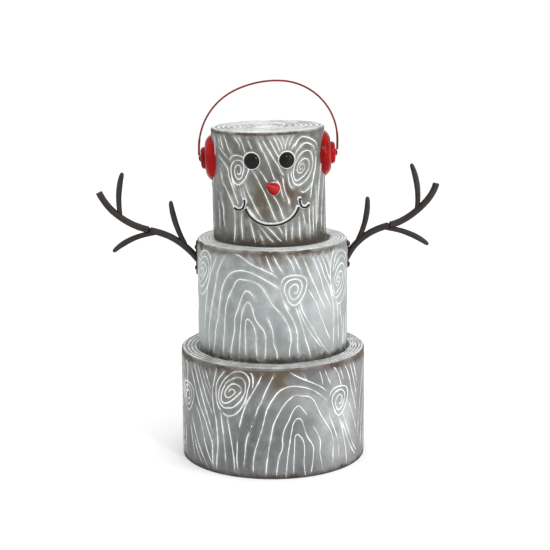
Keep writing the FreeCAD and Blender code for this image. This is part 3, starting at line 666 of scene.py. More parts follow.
HEAD_LINES = [
    [(-50, 103), (-47, 107.5), (-42, 110), (-36, 110), (-30, 108), (-24, 102), (-23.5, 94), (-26, 87),
     (-30, 80.5), (-34, 77), (-38, 75), (-42, 77), (-45.5, 82), (-47.5, 90), (-46.5, 98), (-42.5, 103),
     (-37, 104.5), (-32, 103), (-29.5, 97), (-31, 89), (-34, 83), (-38, 82), (-41, 85), (-42.5, 90),
     (-41, 96), (-37, 99), (-33.5, 96), (-34, 90), (-37, 87.5), (-39, 91)],
    [(64, 92), (62, 82), (59, 71), (57, 62), (55.5, 54)],
    [(-74, 121), (-65.5, 115.6), (-56, 108.5), (-51, 104.5)],
    [(-72, 108), (-64.5, 103.7), (-56.4, 97), (-52.5, 91), (-51.2, 83.7), (-47.4, 74.2), (-43.6, 65.6),
     (-39.3, 55), (-37.4, 50.4)],
    [(-47.4, 83.7), (-44.5, 76), (-42, 69.4)],
    [(-69.3, 91.3), (-65.5, 84.7), (-64, 78), (-57.9, 70.4), (-53, 62.8), (-47.9, 54.2), (-44.5, 46.6),
     (-43.8, 40), (-43.6, 33), (-44, 19), (-45.5, 4)],
    [(-67, 135), (-64.5, 127.5), (-62, 120), (-60, 115)],
    [(-72, 135), (-70, 128), (-68, 122)],
    [(-59.3, 136), (-56, 128.5), (-52, 119), (-47.4, 112.3)],
    [(-42.6, 134), (-39.3, 129.4), (-35.5, 123.7), (-34, 117)],
    [(-37.4, 133), (-33, 128.5), (-30.2, 122.8), (-28.3, 116), (-26, 112)],
    [(-25, 131.8), (-21.7, 124.7), (-17.9, 116)],
    [(-19, 92.5), (-14, 84.7), (-9.3, 75.3), (-4.5, 65.6), (-1.5, 57.5), (1.2, 50.4), (5, 40), (8.5, 31.5)],
    [(-12, 129.4), (-8.3, 120.9), (-2.6, 109.4), (1.2, 99.9), (4.5, 90.4), (6.4, 83.7), (7.9, 80)],
    [(-7.4, 132.3), (-2.6, 122.8), (3, 113.2), (7.9, 104.7), (12.6, 97), (15.5, 90.4), (18.8, 86)],
    [(1.2, 132.3), (5, 123.7), (8.8, 116), (11.7, 110.4), (13.6, 106.6)],
    [(6, 133.2), (9.8, 127.5), (12.6, 120), (15, 114.2)],
    [(10.7, 133.2), (14.5, 127.5), (16.9, 120.9), (17.9, 115)],
    [(16.4, 134.2), (18.8, 127.5), (20.2, 119)],
    [(26, 133.2), (23, 126.6), (21.2, 119), (20.5, 115)],
    [(31.7, 132.3), (27.4, 125.6), (25, 117)],
    [(36.4, 124.7), (31.7, 120.9), (27.9, 115)],
    [(-12, 96), (-6.4, 87.5), (-2.6, 80.9), (0.2, 77)],
    [(3, 65.6), (8.8, 57), (12.6, 49.4), (15, 41.8), (16.4, 37), (18.8, 32.3)],
    [(8.8, 81.8), (12.6, 77), (15, 69.4), (16.4, 62.8), (18.8, 56)],
    [(17, 84.7), (17.9, 77), (19.3, 69.4), (21.7, 61.8), (24.5, 56), (25.5, 49.4)],
    [(22.6, 59.5), (24.2, 54), (24.8, 50)],
    [(26, 44.7), (27, 41.8)],
    [(24, 92.3), (24, 84.7), (25, 78), (27.9, 71.4), (29.8, 69.4)],
    [(-35, 69.4), (-33, 62.8), (-31.2, 57), (-31.7, 50.4), (-34, 47.5)],
    [(-31.7, 71.4), (-29.3, 64), (-27.4, 58)],
    [(-29.3, 78), (-25.5, 67.5), (-20.2, 57), (-15.5, 46.6), (-10.2, 37), (-7.4, 32.3)],
    [(-24.5, 47.5), (-21.7, 42.8), (-17.9, 38), (-14, 34.2)],
    [(-26, 48), (-24, 42), (-20, 37)],
    [(-34, 42), (-34.5, 30.4), (-33.6, 19), (-33.6, 4.7)],
    [(-23.6, 33.2), (-21.2, 23.7), (-18.8, 14.2), (-16.9, 4.7)],
    [(-14, 28.5), (-6.4, 19), (1.2, 9.4), (6.9, 4.7)],
    [(-13, 20), (-9.3, 11.3), (-6.9, 3.7)],
    [(-4.5, 26.6), (2.1, 20), (8.8, 12.3), (15.5, 5.6)],
    [(9.8, 25.6), (13.6, 20), (16.9, 13.2)],
    [(20.2, 26.6), (19.8, 19), (20.2, 6)],
    [(28.8, 27.5), (27.9, 19), (27.4, 6.6)],
    [(37.9, 34), (37.9, 19), (38.8, 6.6)],
    [(43, 41), (45, 31.3), (47.4, 22.8)],
    [(54, 50), (53.6, 33.2), (54.5, 6.6)],
    [(49.8, 22.8), (50.2, 6.6)],
    [(61, 50), (60, 30), (61, 8)],
    [(66.9, 70), (66.4, 33.2), (66, 6.6)],
    [(-69.3, 61.8), (-65.5, 52.3), (-62.6, 42.8), (-62.6, 30.4), (-59.8, 19)],
    [(-74, 50), (-72, 33), (-72.6, 14)],
]
SHEET_LINES = [
    KNOT,
    *[[(x + 71, y + 93) for x, y in line] for line in (ROUND_SPIRAL, *ROUND_SPIRAL_OUTLINE)],
    *ARCHES, *STREAKS_OVER_ARCHES, *STREAKS_RIGHT_OF_KNOT, *STREAKS_BELOW_KNOT, *SPINE_AND_FOOT_OF_SPIRAL,
]
DRAWINGS = {               # groups of lines, each with its move along the band and up it
    "lower": ((LOWER_LINES, 0, 0), ([LEANING_SPIRAL], -53, 106), ([KNOT], 88.5, -1), ([KNOT], -132, -4),
              (SHEET_LINES, 260, 0), (SHEET_LINES, -240, 0)),
    "middle": ((SHEET_LINES, 26, 0), ([LEANING_SPIRAL], -110, 103), (SHEET_LINES, 262, 0),
               (SHEET_LINES, -240, 0)),
    "head": ((HEAD_LINES, 0, 0), ([ROUND_SPIRAL, *ROUND_SPIRAL_OUTLINE], 43, 94), (SHEET_LINES, 198, 0),
             (SHEET_LINES, -188, 0)),
}

RINGS = {
    "lower": {"radii": (112.0, 107.5, 103.0, 98.8, 94.6), "drift": 0.030, "heading": 190.0, "wave": 0.7},
    "middle": {"radii": (90.5, 86.0, 81.6, 77.4, 73.2), "drift": 0.030, "heading": 200.0, "wave": 0.7},
    "head": {"radii": (66.4, 60.2, 54.0, 47.6, 41.0, 34.6, 28.0, 21.4, 15.0, 8.6, 3.4), "drift": 0.0,
             "heading": 35.0, "wave": 1.5},
}


def moved(lines, along, up):
    return [[(x + along, y + up) for x, y in points] for points in lines]


def drawing(name, lines, cyclic=False):
    """Smooth lines through points in millimetres. An open line's ends lift off the sheet, so that its
    ridge dies away."""
    curve = bpy.data.curves.new(name, "CURVE")
    curve.dimensions = "3D"
    curve.resolution_u = 5
    for points in lines:
        spline = curve.splines.new("BEZIER")
        spline.bezier_points.add(len(points) - 1)
        for knot, (x, y) in zip(spline.bezier_points, points):
            knot.co = (x * MM, y * MM, 0)
            knot.handle_left_type = "AUTO"
            knot.handle_right_type = "AUTO"
        spline.use_cyclic_u = cyclic
        if not cyclic:
            spline.bezier_points[0].co.z = 0.8 * MM
            spline.bezier_points[-1].co.z = 0.8 * MM
    return new_object(name, curve)


def sheet_drawing(drum):
    """A band's lines, kept off its edges."""
    low = LINE_FREE_EDGE
    high = (drum.top - RIM) / MM - LINE_FREE_EDGE
    reach = drum.half_round / MM + 4
    lines = []
    for group, along, up in DRAWINGS[drum.name]:
        for points in moved(group, along, up):
            if any(abs(x) < reach for x, y in points):
                lines.append([(x, min(max(y, low), high)) for x, y in points])
    return drawing(drum.name + "_drawing", lines)


def ring_drawing(drum):
    """Growth rings: closed lines that wave a little and drift to one side."""
    rings = RINGS[drum.name]
    heading = math.radians(rings["heading"])
    outer = rings["radii"][0]
    lines = []
    for index, radius in enumerate(rings["radii"]):
        depth = (outer - radius) / outer
        points = []
        for k in range(48):
            angle = 2 * math.pi * k / 48
            wave = math.sin(3 * angle + 1.7 * index) + 0.7 * math.sin(5 * angle + 0.9 + 2.3 * index)
            wave += 0.5 * math.sin(8 * angle + 2.1 * index)
            drift = rings["drift"] * outer * (index / len(rings["radii"])) * math.cos(angle - heading)
            r = radius + (0.25 + depth) * rings["wave"] * wave - drift
            squash = 1 + 0.05 * depth * math.cos(2 * (angle - heading))
            points.append((r * squash * math.cos(angle), r * math.sin(angle)))
        lines.append(points)
    return drawing(drum.name + "_rings", lines, cyclic=True)


# Finishes ----------------------------------------------------------------------------------------

# Soft patches, olive, brown and hazy ones: arc and height in millimetres, reach along each, strength. The
# hazy ones are mostly painted light on the right-hand flanks, paler where the light falls from the right,
# with a little whitewash haze.
STAINS_AND_PAINTED_LIGHT = {
    "lower": (
        ((8, 120, 15, 14, 1.0), (-4, 131, 16, 7, 0.85), (-44, 124, 22, 12, 0.6), (-58, 112, 14, 14, 0.3)),
        ((-36, 131, 26, 7, 0.7), (-100, 4, 34, 6, 0.6), (96, 9, 12, 6, 0.7), (20, 4, 60, 3, 0.3),
         (14, 134, 22, 5, 0.6), (-14, 128, 5, 7, 0.8)),
        ((74, 66, 26, 60, 0.34), (40, 96, 16, 20, 0.2), (108, 60, 24, 60, 0.28), (-96, 70, 10, 40, 0.2)),
    ),
    "middle": (
        ((44, 112, 6, 12, 0.55), (38, 126, 9, 8, 0.55), (-6, 124, 30, 8, 0.4), (-80, 8, 20, 9, 0.4),
         (-20, 9, 40, 6, 0.4)),
        ((-4, 128, 22, 7, 0.8), (-40, 133, 30, 5, 0.5), (54, 10, 14, 9, 0.6), (-62, 8, 14, 8, 0.45),
         (10, 5, 40, 5, 0.4)),
        ((66, 64, 26, 60, 0.2), (96, 60, 20, 60, 0.2)),
    ),
    "head": (
        ((-6, 56, 14, 20, 0.9), (12, 58, 8, 10, 0.65), (-10, 78, 10, 14, 0.45), (6, 92, 5, 12, 0.45),
         (-18, 44, 10, 10, 0.55), (-44, 129, 20, 8, 0.3), (6, 14, 30, 9, 0.45)),
        # The wide brown patch along the foot (arc 0, height 7) is partly painted contact shade where the head
        # stands on the lid, and partly brown patina
        ((14, 84, 4.5, 9, 0.95), (21, 74, 5, 9, 1.0), (29, 64, 8, 7, 1.0), (27, 52, 6, 9, 0.75),
         (44, 60, 6, 5, 0.95), (-27, 42, 5, 6, 0.9), (-21, 38, 6, 4, 0.6), (6, 61, 6, 4, 0.45),
         (0, 7, 90, 9, 0.95)),
        ((60, 84, 10, 34, 0.08),),
    ),
}
# Half width of the white lines, haze, smear beside the lines, reach of the rust and of the soot with its
# painted contact shade, and how much paler a lid is than its drum
LOOKS = {
    "lower": {"line": 0.70, "haze": 0.12, "smear": 0.16, "rust": 9.0, "soot": 7.0},
    "middle": {"line": 0.60, "haze": 0.24, "smear": 0.30, "rust": 8.0, "soot": 11.0},
    "head": {"line": 0.58, "haze": 0.16, "smear": 0.30, "rust": 2.4, "soot": 15.0},
    "lower_lid": {"line": 0.72, "haze": 0.30, "smear": 0.30, "rust": 1.7, "soot": 5.0, "tone": 1.2},
    "middle_lid": {"line": 0.72, "haze": 0.40, "smear": 0.35, "rust": 1.5, "soot": 4.0, "tone": 1.3},
    "head_lid": {"line": 0.75, "haze": 0.85, "smear": 0.60, "rust": 1.0, "soot": 0.1, "tone": 1.9},
}
MOUTH_WIRES = ("smile_wire", "left_cheek_wire", "right_cheek_wire")


def principled(name, **values):
    """A material's tree and its Principled shader."""
    material = bpy.data.materials.new(name)
    material.use_nodes = True
    tree = material.node_tree
    shader = tree.nodes["Principled BSDF"]
    for key, value in values.items():
        socket = shader.inputs[key.replace("_", " ")]
        socket.default_value = (*value, 1.0) if isinstance(value, (tuple, list)) else value
    return material, tree, shader


def object_place(tree):
    return tree.nodes.new("ShaderNodeTexCoord").outputs["Object"]


def bumped(tree, shader, height, distance, strength=1.0):
    bump = add(tree, "ShaderNodeBump", {"Height": height, "Distance": distance, "Strength": strength})
    tree.links.new(bump.outputs[0], shader.inputs["Normal"])


def attribute(tree, name, output):
    return add(tree, "ShaderNodeAttribute", attribute_name=name, attribute_type="GEOMETRY").outputs[output]


def bitten(tree, place, distance, reach, scale):
    """How near a sheet's edge a place is, ragged and patchy: 1 on the edge, 0 beyond the reach."""
    bite = calc(tree, "SUBTRACT", noise(tree, place, scale, 5.0, 0.72), 0.5)
    ragged = calc(tree, "ADD", distance, calc(tree, "MULTIPLY", bite, 2.8 * reach * MM))
    return ramp(tree, ragged, 0.1 * reach * MM, reach * MM, 1.0, 0.0)


def zinc(name, dark, light, look):
    """Zinc sheet: white on its pressed lines, rust and soot along its edges with painted contact shade where
    the drums meet, olive and brown stains, and patches of painted light.
    """
    material, tree, shader = principled(name, Specular_IOR_Level=0.35)
    place = object_place(tree)
    edge = add(tree, "ShaderNodeSeparateXYZ", {0: attribute(tree, "edge", "Vector")}).outputs
    # The stain attribute holds olive, brown and painted-light shares; the third goes into the white wash below
    stain = add(tree, "ShaderNodeSeparateXYZ", {0: attribute(tree, "stain", "Vector")}).outputs
    grain = attribute(tree, "grain", "Fac")
    across = add(tree, "ShaderNodeVectorMath", {0: attribute(tree, "across", "Vector")}, operation="LENGTH")
    share = add(tree, "ShaderNodeMix", {0: ramp(tree, grain, 0.6, 0.85), 2: across.outputs["Value"], 3: grain},
                data_type="FLOAT").outputs[0]
    clouds = noise(tree, place, 16.0, 5.0, 0.62)
    brushed = noise(tree, stretched(tree, place, (1.0, 1.0, 0.35)), 85.0, 4.0, 0.6)
    specks = noise(tree, place, 620.0, 2.0, 0.6)
    tone = calc(tree, "ADD", calc(tree, "MULTIPLY", clouds, 0.7), calc(tree, "MULTIPLY", brushed, 0.3))
    metal = blend(tree, ramp(tree, tone, 0.36, 0.64), dark, light)
    metal = blend(tree, calc(tree, "MULTIPLY", ramp(tree, specks, 0.5, 0.8), 0.4), metal, light)
    metal = blend(tree, calc(tree, "MULTIPLY", stain[0], ramp(tree, brushed, 0.3, 0.62, 0.55, 1.0)), metal,
                  SETTINGS.stain)
    metal = blend(tree, calc(tree, "MULTIPLY", stain[1], ramp(tree, tone, 0.36, 0.56, 0.6, 1.0)), metal,
                  SETTINGS.umber)
    rub = noise(tree, place, 38.0, 4.0, 0.65)
    close = calc(tree, "MULTIPLY", ramp(tree, grain, 0.7, 2.8, 1.0, 0.0), ramp(tree, rub, 0.35, 0.7, 0.15, 1.0))
    haze = calc(tree, "MAXIMUM", calc(tree, "MULTIPLY", ramp(tree, rub, 0.46, 0.78), look["haze"]),
                calc(tree, "MULTIPLY", close, look["smear"]))
    # Painted light: the third stain share pales the right-hand flanks as if lit from the right, mixed with some
    # real haze
    haze = calc(tree, "MAXIMUM", haze, calc(tree, "MULTIPLY", stain[2], ramp(tree, rub, 0.3, 0.66, 0.45, 1.1)))
    metal = blend(tree, haze, metal, SETTINGS.wash)
    patchy = ramp(tree, clouds, 0.36, 0.58, 0.35, 1.0)
    rust = calc(tree, "MULTIPLY", bitten(tree, place, edge[0], look["rust"], 80.0), patchy)
    metal = blend(tree, rust, metal, SETTINGS.rust)
    # Soot along a band's foot and round the next drum's foot on a lid, partly painted contact shade where the
    # drums meet; a thin dark line along the lap
    soot = bitten(tree, place, edge[1], look["soot"], 55.0)
    soot = calc(tree, "MULTIPLY", soot, ramp(tree, rub, 0.3, 0.6, 0.7, 1.0))
    soot = calc(tree, "MAXIMUM", soot, ramp(tree, edge[2], 0.0, 1.2 * MM, 0.8, 0.0))
    metal = blend(tree, soot, metal, SETTINGS.soot)
    brown = calc(tree, "MAXIMUM", rust, soot)
    broken = calc(tree, "SUBTRACT", noise(tree, place, 300.0, 3.0, 0.75), 0.5)
    width = look["line"] * MM / SETTINGS.ridge_width
    frayed = calc(tree, "ADD", share, calc(tree, "MULTIPLY", broken, 1.5 * width))
    line = ramp(tree, frayed, 0.65 * width, 1.2 * width, 1.0, 0.0)
    worn = ramp(tree, noise(tree, place, 44.0, 3.0, 0.6), 0.34, 0.50, 0.38, 1.0)
    faded = calc(tree, "MULTIPLY", worn, ramp(tree, brown, 0.2, 1.0, 1.0, 0.62))
    halo = calc(tree, "ADD", attribute(tree, "halo", "Fac"), calc(tree, "MULTIPLY", broken, 0.7))
    halo = ramp(tree, halo, 0.3, 0.62, 0.0, 0.92)
    white = calc(tree, "MAXIMUM", calc(tree, "MULTIPLY", line, faded), halo)
    tree.links.new(blend(tree, white, metal, SETTINGS.wash), shader.inputs["Base Color"])
    paint = calc(tree, "MAXIMUM", calc(tree, "MAXIMUM", white, haze), brown)
    tree.links.new(ramp(tree, paint, 0.0, 0.8, 0.45, 0.0), shader.inputs["Metallic"])
    rough = calc(tree, "ADD", ramp(tree, paint, 0.0, 0.8, 0.42, 0.66), calc(tree, "MULTIPLY", brushed, 0.12))
    tree.links.new(rough, shader.inputs["Roughness"])
    pits = calc(tree, "ADD", calc(tree, "MULTIPLY", specks, 0.4), calc(tree, "MULTIPLY", brushed, 0.6))
    bumped(tree, shader, calc(tree, "ADD", pits, calc(tree, "MULTIPLY", white, 0.9)), 0.00024, 0.6)
    return material


def enamel(name, base, deep, specular, rough):
    """Gloss paint with a slight orange-peel surface, shallow dents and darker patches."""
    material, tree, shader = principled(name, Specular_IOR_Level=specular)
    place = object_place(tree)
    patches = noise(tree, place, 45.0, 4.0, 0.6)
    # On the muffs, caps and nose the deep patches are painted shade: darker reflections painted into the colour
    tree.links.new(blend(tree, ramp(tree, patches, 0.35, 0.7), deep, base), shader.inputs["Base Color"])
    tree.links.new(ramp(tree, noise(tree, place, 160.0, 3.0), 0.3, 0.7, rough * 0.75, rough * 1.35),
                   shader.inputs["Roughness"])
    dents = calc(tree, "MULTIPLY", noise(tree, place, 90.0, 2.0), 3.0)
    peel = calc(tree, "ADD", calc(tree, "MULTIPLY", noise(tree, place, 420.0, 1.0), 0.5), dents)
    bumped(tree, shader, peel, 0.0005, 0.5)
    return material


def forged_paint(name, base, worn):
    """Satin brown-black paint over hammered rod, rubbed paler on its high places."""
    material, tree, shader = principled(name, Specular_IOR_Level=0.3)
    place = object_place(tree)
    patches = noise(tree, place, 60.0, 5.0, 0.65)
    rubbed = noise(tree, place, 480.0, 3.0, 0.7)
    mixed = blend(tree, ramp(tree, patches, 0.4, 0.72), base, worn)
    mixed = blend(tree, calc(tree, "MULTIPLY", ramp(tree, rubbed, 0.62, 0.8), 0.35), mixed, SETTINGS.bare)
    tree.links.new(mixed, shader.inputs["Base Color"])
    tree.links.new(ramp(tree, patches, 0.3, 0.7, 0.34, 0.58), shader.inputs["Roughness"])
    tree.links.new(ramp(tree, rubbed, 0.55, 0.8, 0.0, 0.35), shader.inputs["Metallic"])
    bumped(tree, shader, calc(tree, "ADD", patches, rubbed), 0.0003, 0.5)
    return material


def bright_zinc(name):
    """Zinc-plated hardware with a faint yellow cast and fine scratches."""
    material, tree, shader = principled(name, Metallic=1.0)
    place = object_place(tree)
    cast = noise(tree, place, 220.0, 3.0)
    mixed = blend(tree, ramp(tree, cast, 0.35, 0.7), SETTINGS.plated, SETTINGS.plated_warm)
    tree.links.new(mixed, shader.inputs["Base Color"])
    scratches = noise(tree, stretched(tree, place, (1.0, 1.0, 7.0)), 600.0, 2.0)
    tree.links.new(ramp(tree, scratches, 0.3, 0.7, 0.24, 0.42), shader.inputs["Roughness"])
    bumped(tree, shader, scratches, 0.0001, 0.3)
    return material


class Settings:
    """The three property groups' values, under one name."""

    def __getattr__(self, name):
        scene = bpy.context.scene
        for group in (scene.snowman_sizes, scene.snowman_colours, scene.snowman_stage):
            if name in group.__annotations__:
                return getattr(group, name)
        raise AttributeError(name)


SETTINGS = Settings()


def stain_and_light_shares(drum, arc, height):
    """How olive and how brown the sheet is, and how much painted light and haze lies on it, from soft patches.
    """
    totals = []
    for patches in STAINS_AND_PAINTED_LIGHT[drum.name]:
        total = np.zeros_like(arc)
        for at, up, wide, tall, strength in patches:
            off = ((arc - at * MM) / (wide * MM)) ** 2 + ((height - up * MM) / (tall * MM)) ** 2
            total += strength * np.exp(-off)
        totals.append(np.clip(total, 0, 1))
    return np.stack(totals, -1)


def round_halo(node, arc, height, reach, below):
    """White round a piece that stands on the head, narrower below it."""
    points = head_points(node)
    proud = points[np.hypot(points[:, 0], points[:, 1]) < HEAD.radius + 2 * MM]
    middle = (proud.min(axis=0) + proud.max(axis=0)) / 2
    at = math.atan2(middle[0], -middle[1]) * HEAD.radius
    size = np.ptp(proud[:, 2]) / 2
    along, up = arc - at, height - middle[2]
    far = np.hypot(along, up)
    allowed = reach * (below + (1 - below) * np.clip(0.5 + up / np.maximum(far, MM), 0, 1))
    return 1 - np.clip(far - size, 0, None) / allowed


def wire_halo(arc, height, above, below):
    """White along the mouth's wires, wide above them and narrow below."""
    places = [p for node in MOUTH_WIRES for p in head_points(node)]
    tree = KDTree(len(places))
    for index, (x, y, z) in enumerate(places):
        tree.insert((math.atan2(x, -y) * HEAD.radius, z, 0), index)
    tree.balance()
    share = np.zeros(arc.size)
    flat_arc, flat_height = arc.ravel(), height.ravel()
    inside = (np.abs(flat_arc) < 66 * MM) & (flat_height > 20 * MM) & (flat_height < 66 * MM)
    for k in np.flatnonzero(inside):
        spot, index, far = tree.find((flat_arc[k], flat_height[k], 0))
        share[k] = 1 - far / (above if flat_height[k] > spot.y else below)
    return share.reshape(arc.shape)


def halo_share(drum, arc, height):
    """White left by the brush round the eyes and the nose, and along the mouth."""
    if drum is not HEAD:
        return np.zeros_like(arc)
    shares = [round_halo(node, arc, height, 2.6 * MM, 0.6) for node in ("left_eye", "right_eye")]
    shares.append(round_halo("nose", arc, height, 3.4 * MM, 0.3))
    shares.append(wire_halo(arc, height, 3.4 * MM, 1.3 * MM))
    return np.clip(np.max(shares, axis=0), 0, 1)


def finish_of(drum, suffix=""):
    """A drum's finish for its band or its lid, made once."""
    name = drum.name + suffix + "_zinc"
    if name in bpy.data.materials:
        return bpy.data.materials[name]
    look = LOOKS[drum.name + suffix]
    shades = [getattr(SETTINGS, drum.name + shade) for shade in ("_dark", "_light")]
    dark, light = [tuple(c * look.get("tone", 1.0) for c in shade) for shade in shades]
    return zinc(name, dark, light, look)


# Drums -------------------------------------------------------------------------------------------

def band_points(drum, columns, rows):
    """A band's closed wall, ring by ring: up the outside, over its edge and down the inside."""
    top = drum.top - RIM
    angles = -math.pi + 2 * math.pi * np.arange(columns) / columns
    lean = math.asin(-drum.placement[0][2])
    foot = -drum.radius * np.sin(angles) * math.tan(lean)
    lapped = (np.abs(angles) * drum.radius > drum.half_round - LAP_WIDTH / 2) * SHEET
    outer = drum.radius + lapped
    rings = []
    press = []
    shares = np.linspace(0, 1, rows)
    for share in shares:
        rings.append((outer, foot + (top - foot) * share))
        press.append(min(1.0, share * rows / 3, (1 - share) * rows / 3))
    inner = np.full(columns, drum.radius - SHEET)
    rings.append((inner, np.full(columns, top)))
    rings.append((inner, foot))
    press += [0.0, 0.0]
    points = np.array([np.stack([r * np.sin(angles), -r * np.cos(angles), z], -1) for r, z in rings])
    arc = np.broadcast_to(angles * drum.radius, (len(rings), columns))
    out = np.stack([np.sin(angles), -np.cos(angles), np.zeros(columns)], -1)
    return points, arc, np.array(press)[:, None, None] * out[None]


def band_grid(drum):
    """Columns and rows with nearly square faces, in step with the largest band."""
    area = 2 * drum.half_round * drum.top
    largest = 2 * LOWER.half_round * LOWER.top
    faces = SETTINGS.band_faces * (area / largest) ** 0.6
    width = math.sqrt(area / (faces * 1.15))
    return round(2 * drum.half_round / width), round(drum.top / (width * 1.15))


def make_band(drum, press):
    columns, rows = band_grid(drum)
    points, arc, push = band_points(drum, columns, rows)
    height = points[..., 2]
    placed = np.array(drum.placement)
    world = points.reshape(-1, 3) @ placed[:3, :3].T + placed[:3, 3]
    obj = mesh_object(drum.name + "_sheet", world, ring_faces(rows + 2, columns, True).tolist())
    flat = np.stack([arc, height, np.zeros_like(arc)], -1)
    store(obj.data, "flat", "FLOAT_VECTOR", flat)
    store(obj.data, "press", "FLOAT_VECTOR", push.reshape(-1, 3) @ placed[:3, :3].T)
    top = drum.top - RIM
    lap_edge = np.abs(drum.half_round - LAP_WIDTH / 2 - np.abs(arc))
    store(obj.data, "edge", "FLOAT_VECTOR", np.stack([top - height, height, lap_edge], -1))
    # Olive and brown stains, and painted light on the right-hand flanks
    store(obj.data, "stain", "FLOAT_VECTOR", stain_and_light_shares(drum, arc, height))
    store(obj.data, "halo", "FLOAT", halo_share(drum, arc, height))
    lines = sheet_drawing(drum)
    modified(obj, press, {
        "Drawing": lines, "Half width": SETTINGS.ridge_width, "Height": SETTINGS.ridge_height,
        "Wobble": SETTINGS.hand_wobble, "Wave": SETTINGS.sheet_wave, "Seed": drum.radius * 100,
        "Material": finish_of(drum),
    })
    piece = settled(obj, drum.name + "_pressed_band")
    discard(lines)
    fitted(piece, drum.name + "_sheet", drum.name + "_band")


def make_lid(drum, press, covered):
    """A pressed lid: fine over what shows, plain where the next drum stands on it."""
    top, radius = drum.top, drum.radius
    bend = 2.0 * MM
    skirt = radius - SHEET * 1.06
    fold = 10.0 * MM
    profile = [
        (0, top - SHEET), (skirt - SHEET, top - SHEET), (skirt - SHEET, top - RIM - fold),
        (skirt, top - RIM - fold), (skirt, top - RIM), (radius, top - RIM), (radius, top - bend),
    ]
    profile += rounded((radius, top - bend), (radius - bend, top), (radius, top), 6)
    fine = 0.62 * MM
    shown = max(covered - 4 * MM, 2 * MM)
    profile += [(r, top) for r in steps_between(radius - bend, shown, fine)]
    profile += [(shown, top), (shown * 0.5, top), (0, top)]
    columns = round(2 * drum.half_round / (1.0 * MM))
    points, faces = turned(profile, columns)
    reach = np.hypot(points[:, 0], points[:, 1])
    on_top = (points[:, 2] > top - 1e-6) & (reach < radius - bend + 1e-6)
    placed = np.array(drum.placement)
    obj = mesh_object(drum.name + "_lid_sheet", points @ placed[:3, :3].T + placed[:3, 3], faces)
    flat = points * (1, 1, 0)
    store(obj.data, "flat", "FLOAT_VECTOR", flat)
    push = np.outer(on_top.astype(float), placed[:3, :3] @ np.array((0, 0, 1.0)))
    store(obj.data, "press", "FLOAT_VECTOR", push)
    edges = np.stack([np.abs(radius - reach), np.abs(reach - covered), reach + NO_LAP], -1)
    store(obj.data, "edge", "FLOAT_VECTOR", edges)
    lines = ring_drawing(drum)
    modified(obj, press, {
        "Drawing": lines, "Half width": SETTINGS.ridge_width * 1.1, "Height": SETTINGS.ring_height,
        "Wobble": SETTINGS.hand_wobble * 2.2, "Wave": SETTINGS.sheet_wave * 0.4, "Seed": drum.radius * 70,
        "Material": finish_of(drum, "_lid"),
    })
    piece = settled(obj, drum.name + "_ringed_lid")
    discard(lines)
    fitted(piece, drum.name + "_sheet", drum.name + "_lid")


def tree_once(name, make):
    return bpy.data.node_groups.get(name) or make()


class SNOWMAN_OT_bands(bpy.types.Operator):
    """Rolls and presses the three bands"""

    bl_idname = "snowman.bands"
    bl_label = "Bands"

    def execute(self, context):
        for drum in DRUMS:
            make_band(drum, tree_once("Press grain", press_tree))
        return {"FINISHED"}


class SNOWMAN_OT_lids(bpy.types.Operator):
    """Presses the three lids"""

    bl_idname = "snowman.lids"
    bl_label = "Lids"

    def execute(self, context):
        for drum, covered in ((LOWER, MIDDLE.radius), (MIDDLE, HEAD.radius), (HEAD, 0.0)):
            make_lid(drum, tree_once("Press grain", press_tree), covered)
        return {"FINISHED"}


class SNOWMAN_OT_hidden_parts(bpy.types.Operator):
    """Gives the base plates, bolts and nuts their metal"""

    bl_idname = "snowman.hidden_parts"
    bl_label = "Base plates and hardware"

    def execute(self, context):
        plated = bright_zinc("plated_hardware")
        plate = bright_zinc("base_plate_zinc")
        for name, node in frame["nodes"].items():
            if name.endswith("_base"):
                dressed(node, plate)
            elif name.endswith(("_bolts", "_nuts", "_nut")):
                dressed(node, plated)
        return {"FINISHED"}


# Arms --------------------------------------------------------------------------------------------

def merged_copy(node, name):
    """A CAD node's mesh with its loose triangles joined."""
    obj = new_object(name, frame["nodes"][node].data.copy())
    work = bmesh.new()
    work.from_mesh(obj.data)
    bmesh.ops.remove_doubles(work, verts=work.verts, dist=1e-6)
    work.to_mesh(obj.data)
    work.free()
    return obj


HAMMER_SCALE = 150.0       # flats to a metre


def forged(node, name, material, seed):
    obj = merged_copy(node, name + "_blank")
    remesh = obj.modifiers.new("Even faces", "REMESH")
    remesh.mode = "VOXEL"
    remesh.voxel_size = SETTINGS.rod_cell
    modified(obj, tree_once("Forge", forge_tree), {
        "Depth": SETTINGS.hammer_depth, "Flat size": HAMMER_SCALE, "Seed": float(seed), "Material": material,
    })
    return settled(obj, name)


class SNOWMAN_OT_arms(bpy.types.Operator):
    """Forges the limbs and twigs, and dresses the arm plates"""

    bl_idname = "snowman.arms"
    bl_label = "Arms"

    def execute(self, context):
        paint = forged_paint("arm_paint", SETTINGS.arm, SETTINGS.arm_worn)
        nodes = [n for n in frame["nodes"] if n.endswith(("_limb", "_twig", "_arm_plate"))]
        for seed, node in enumerate(sorted(nodes)):
            fitted(forged(node, node + "_forged", paint, seed), "arm_bronze_black", node)
        return {"FINISHED"}


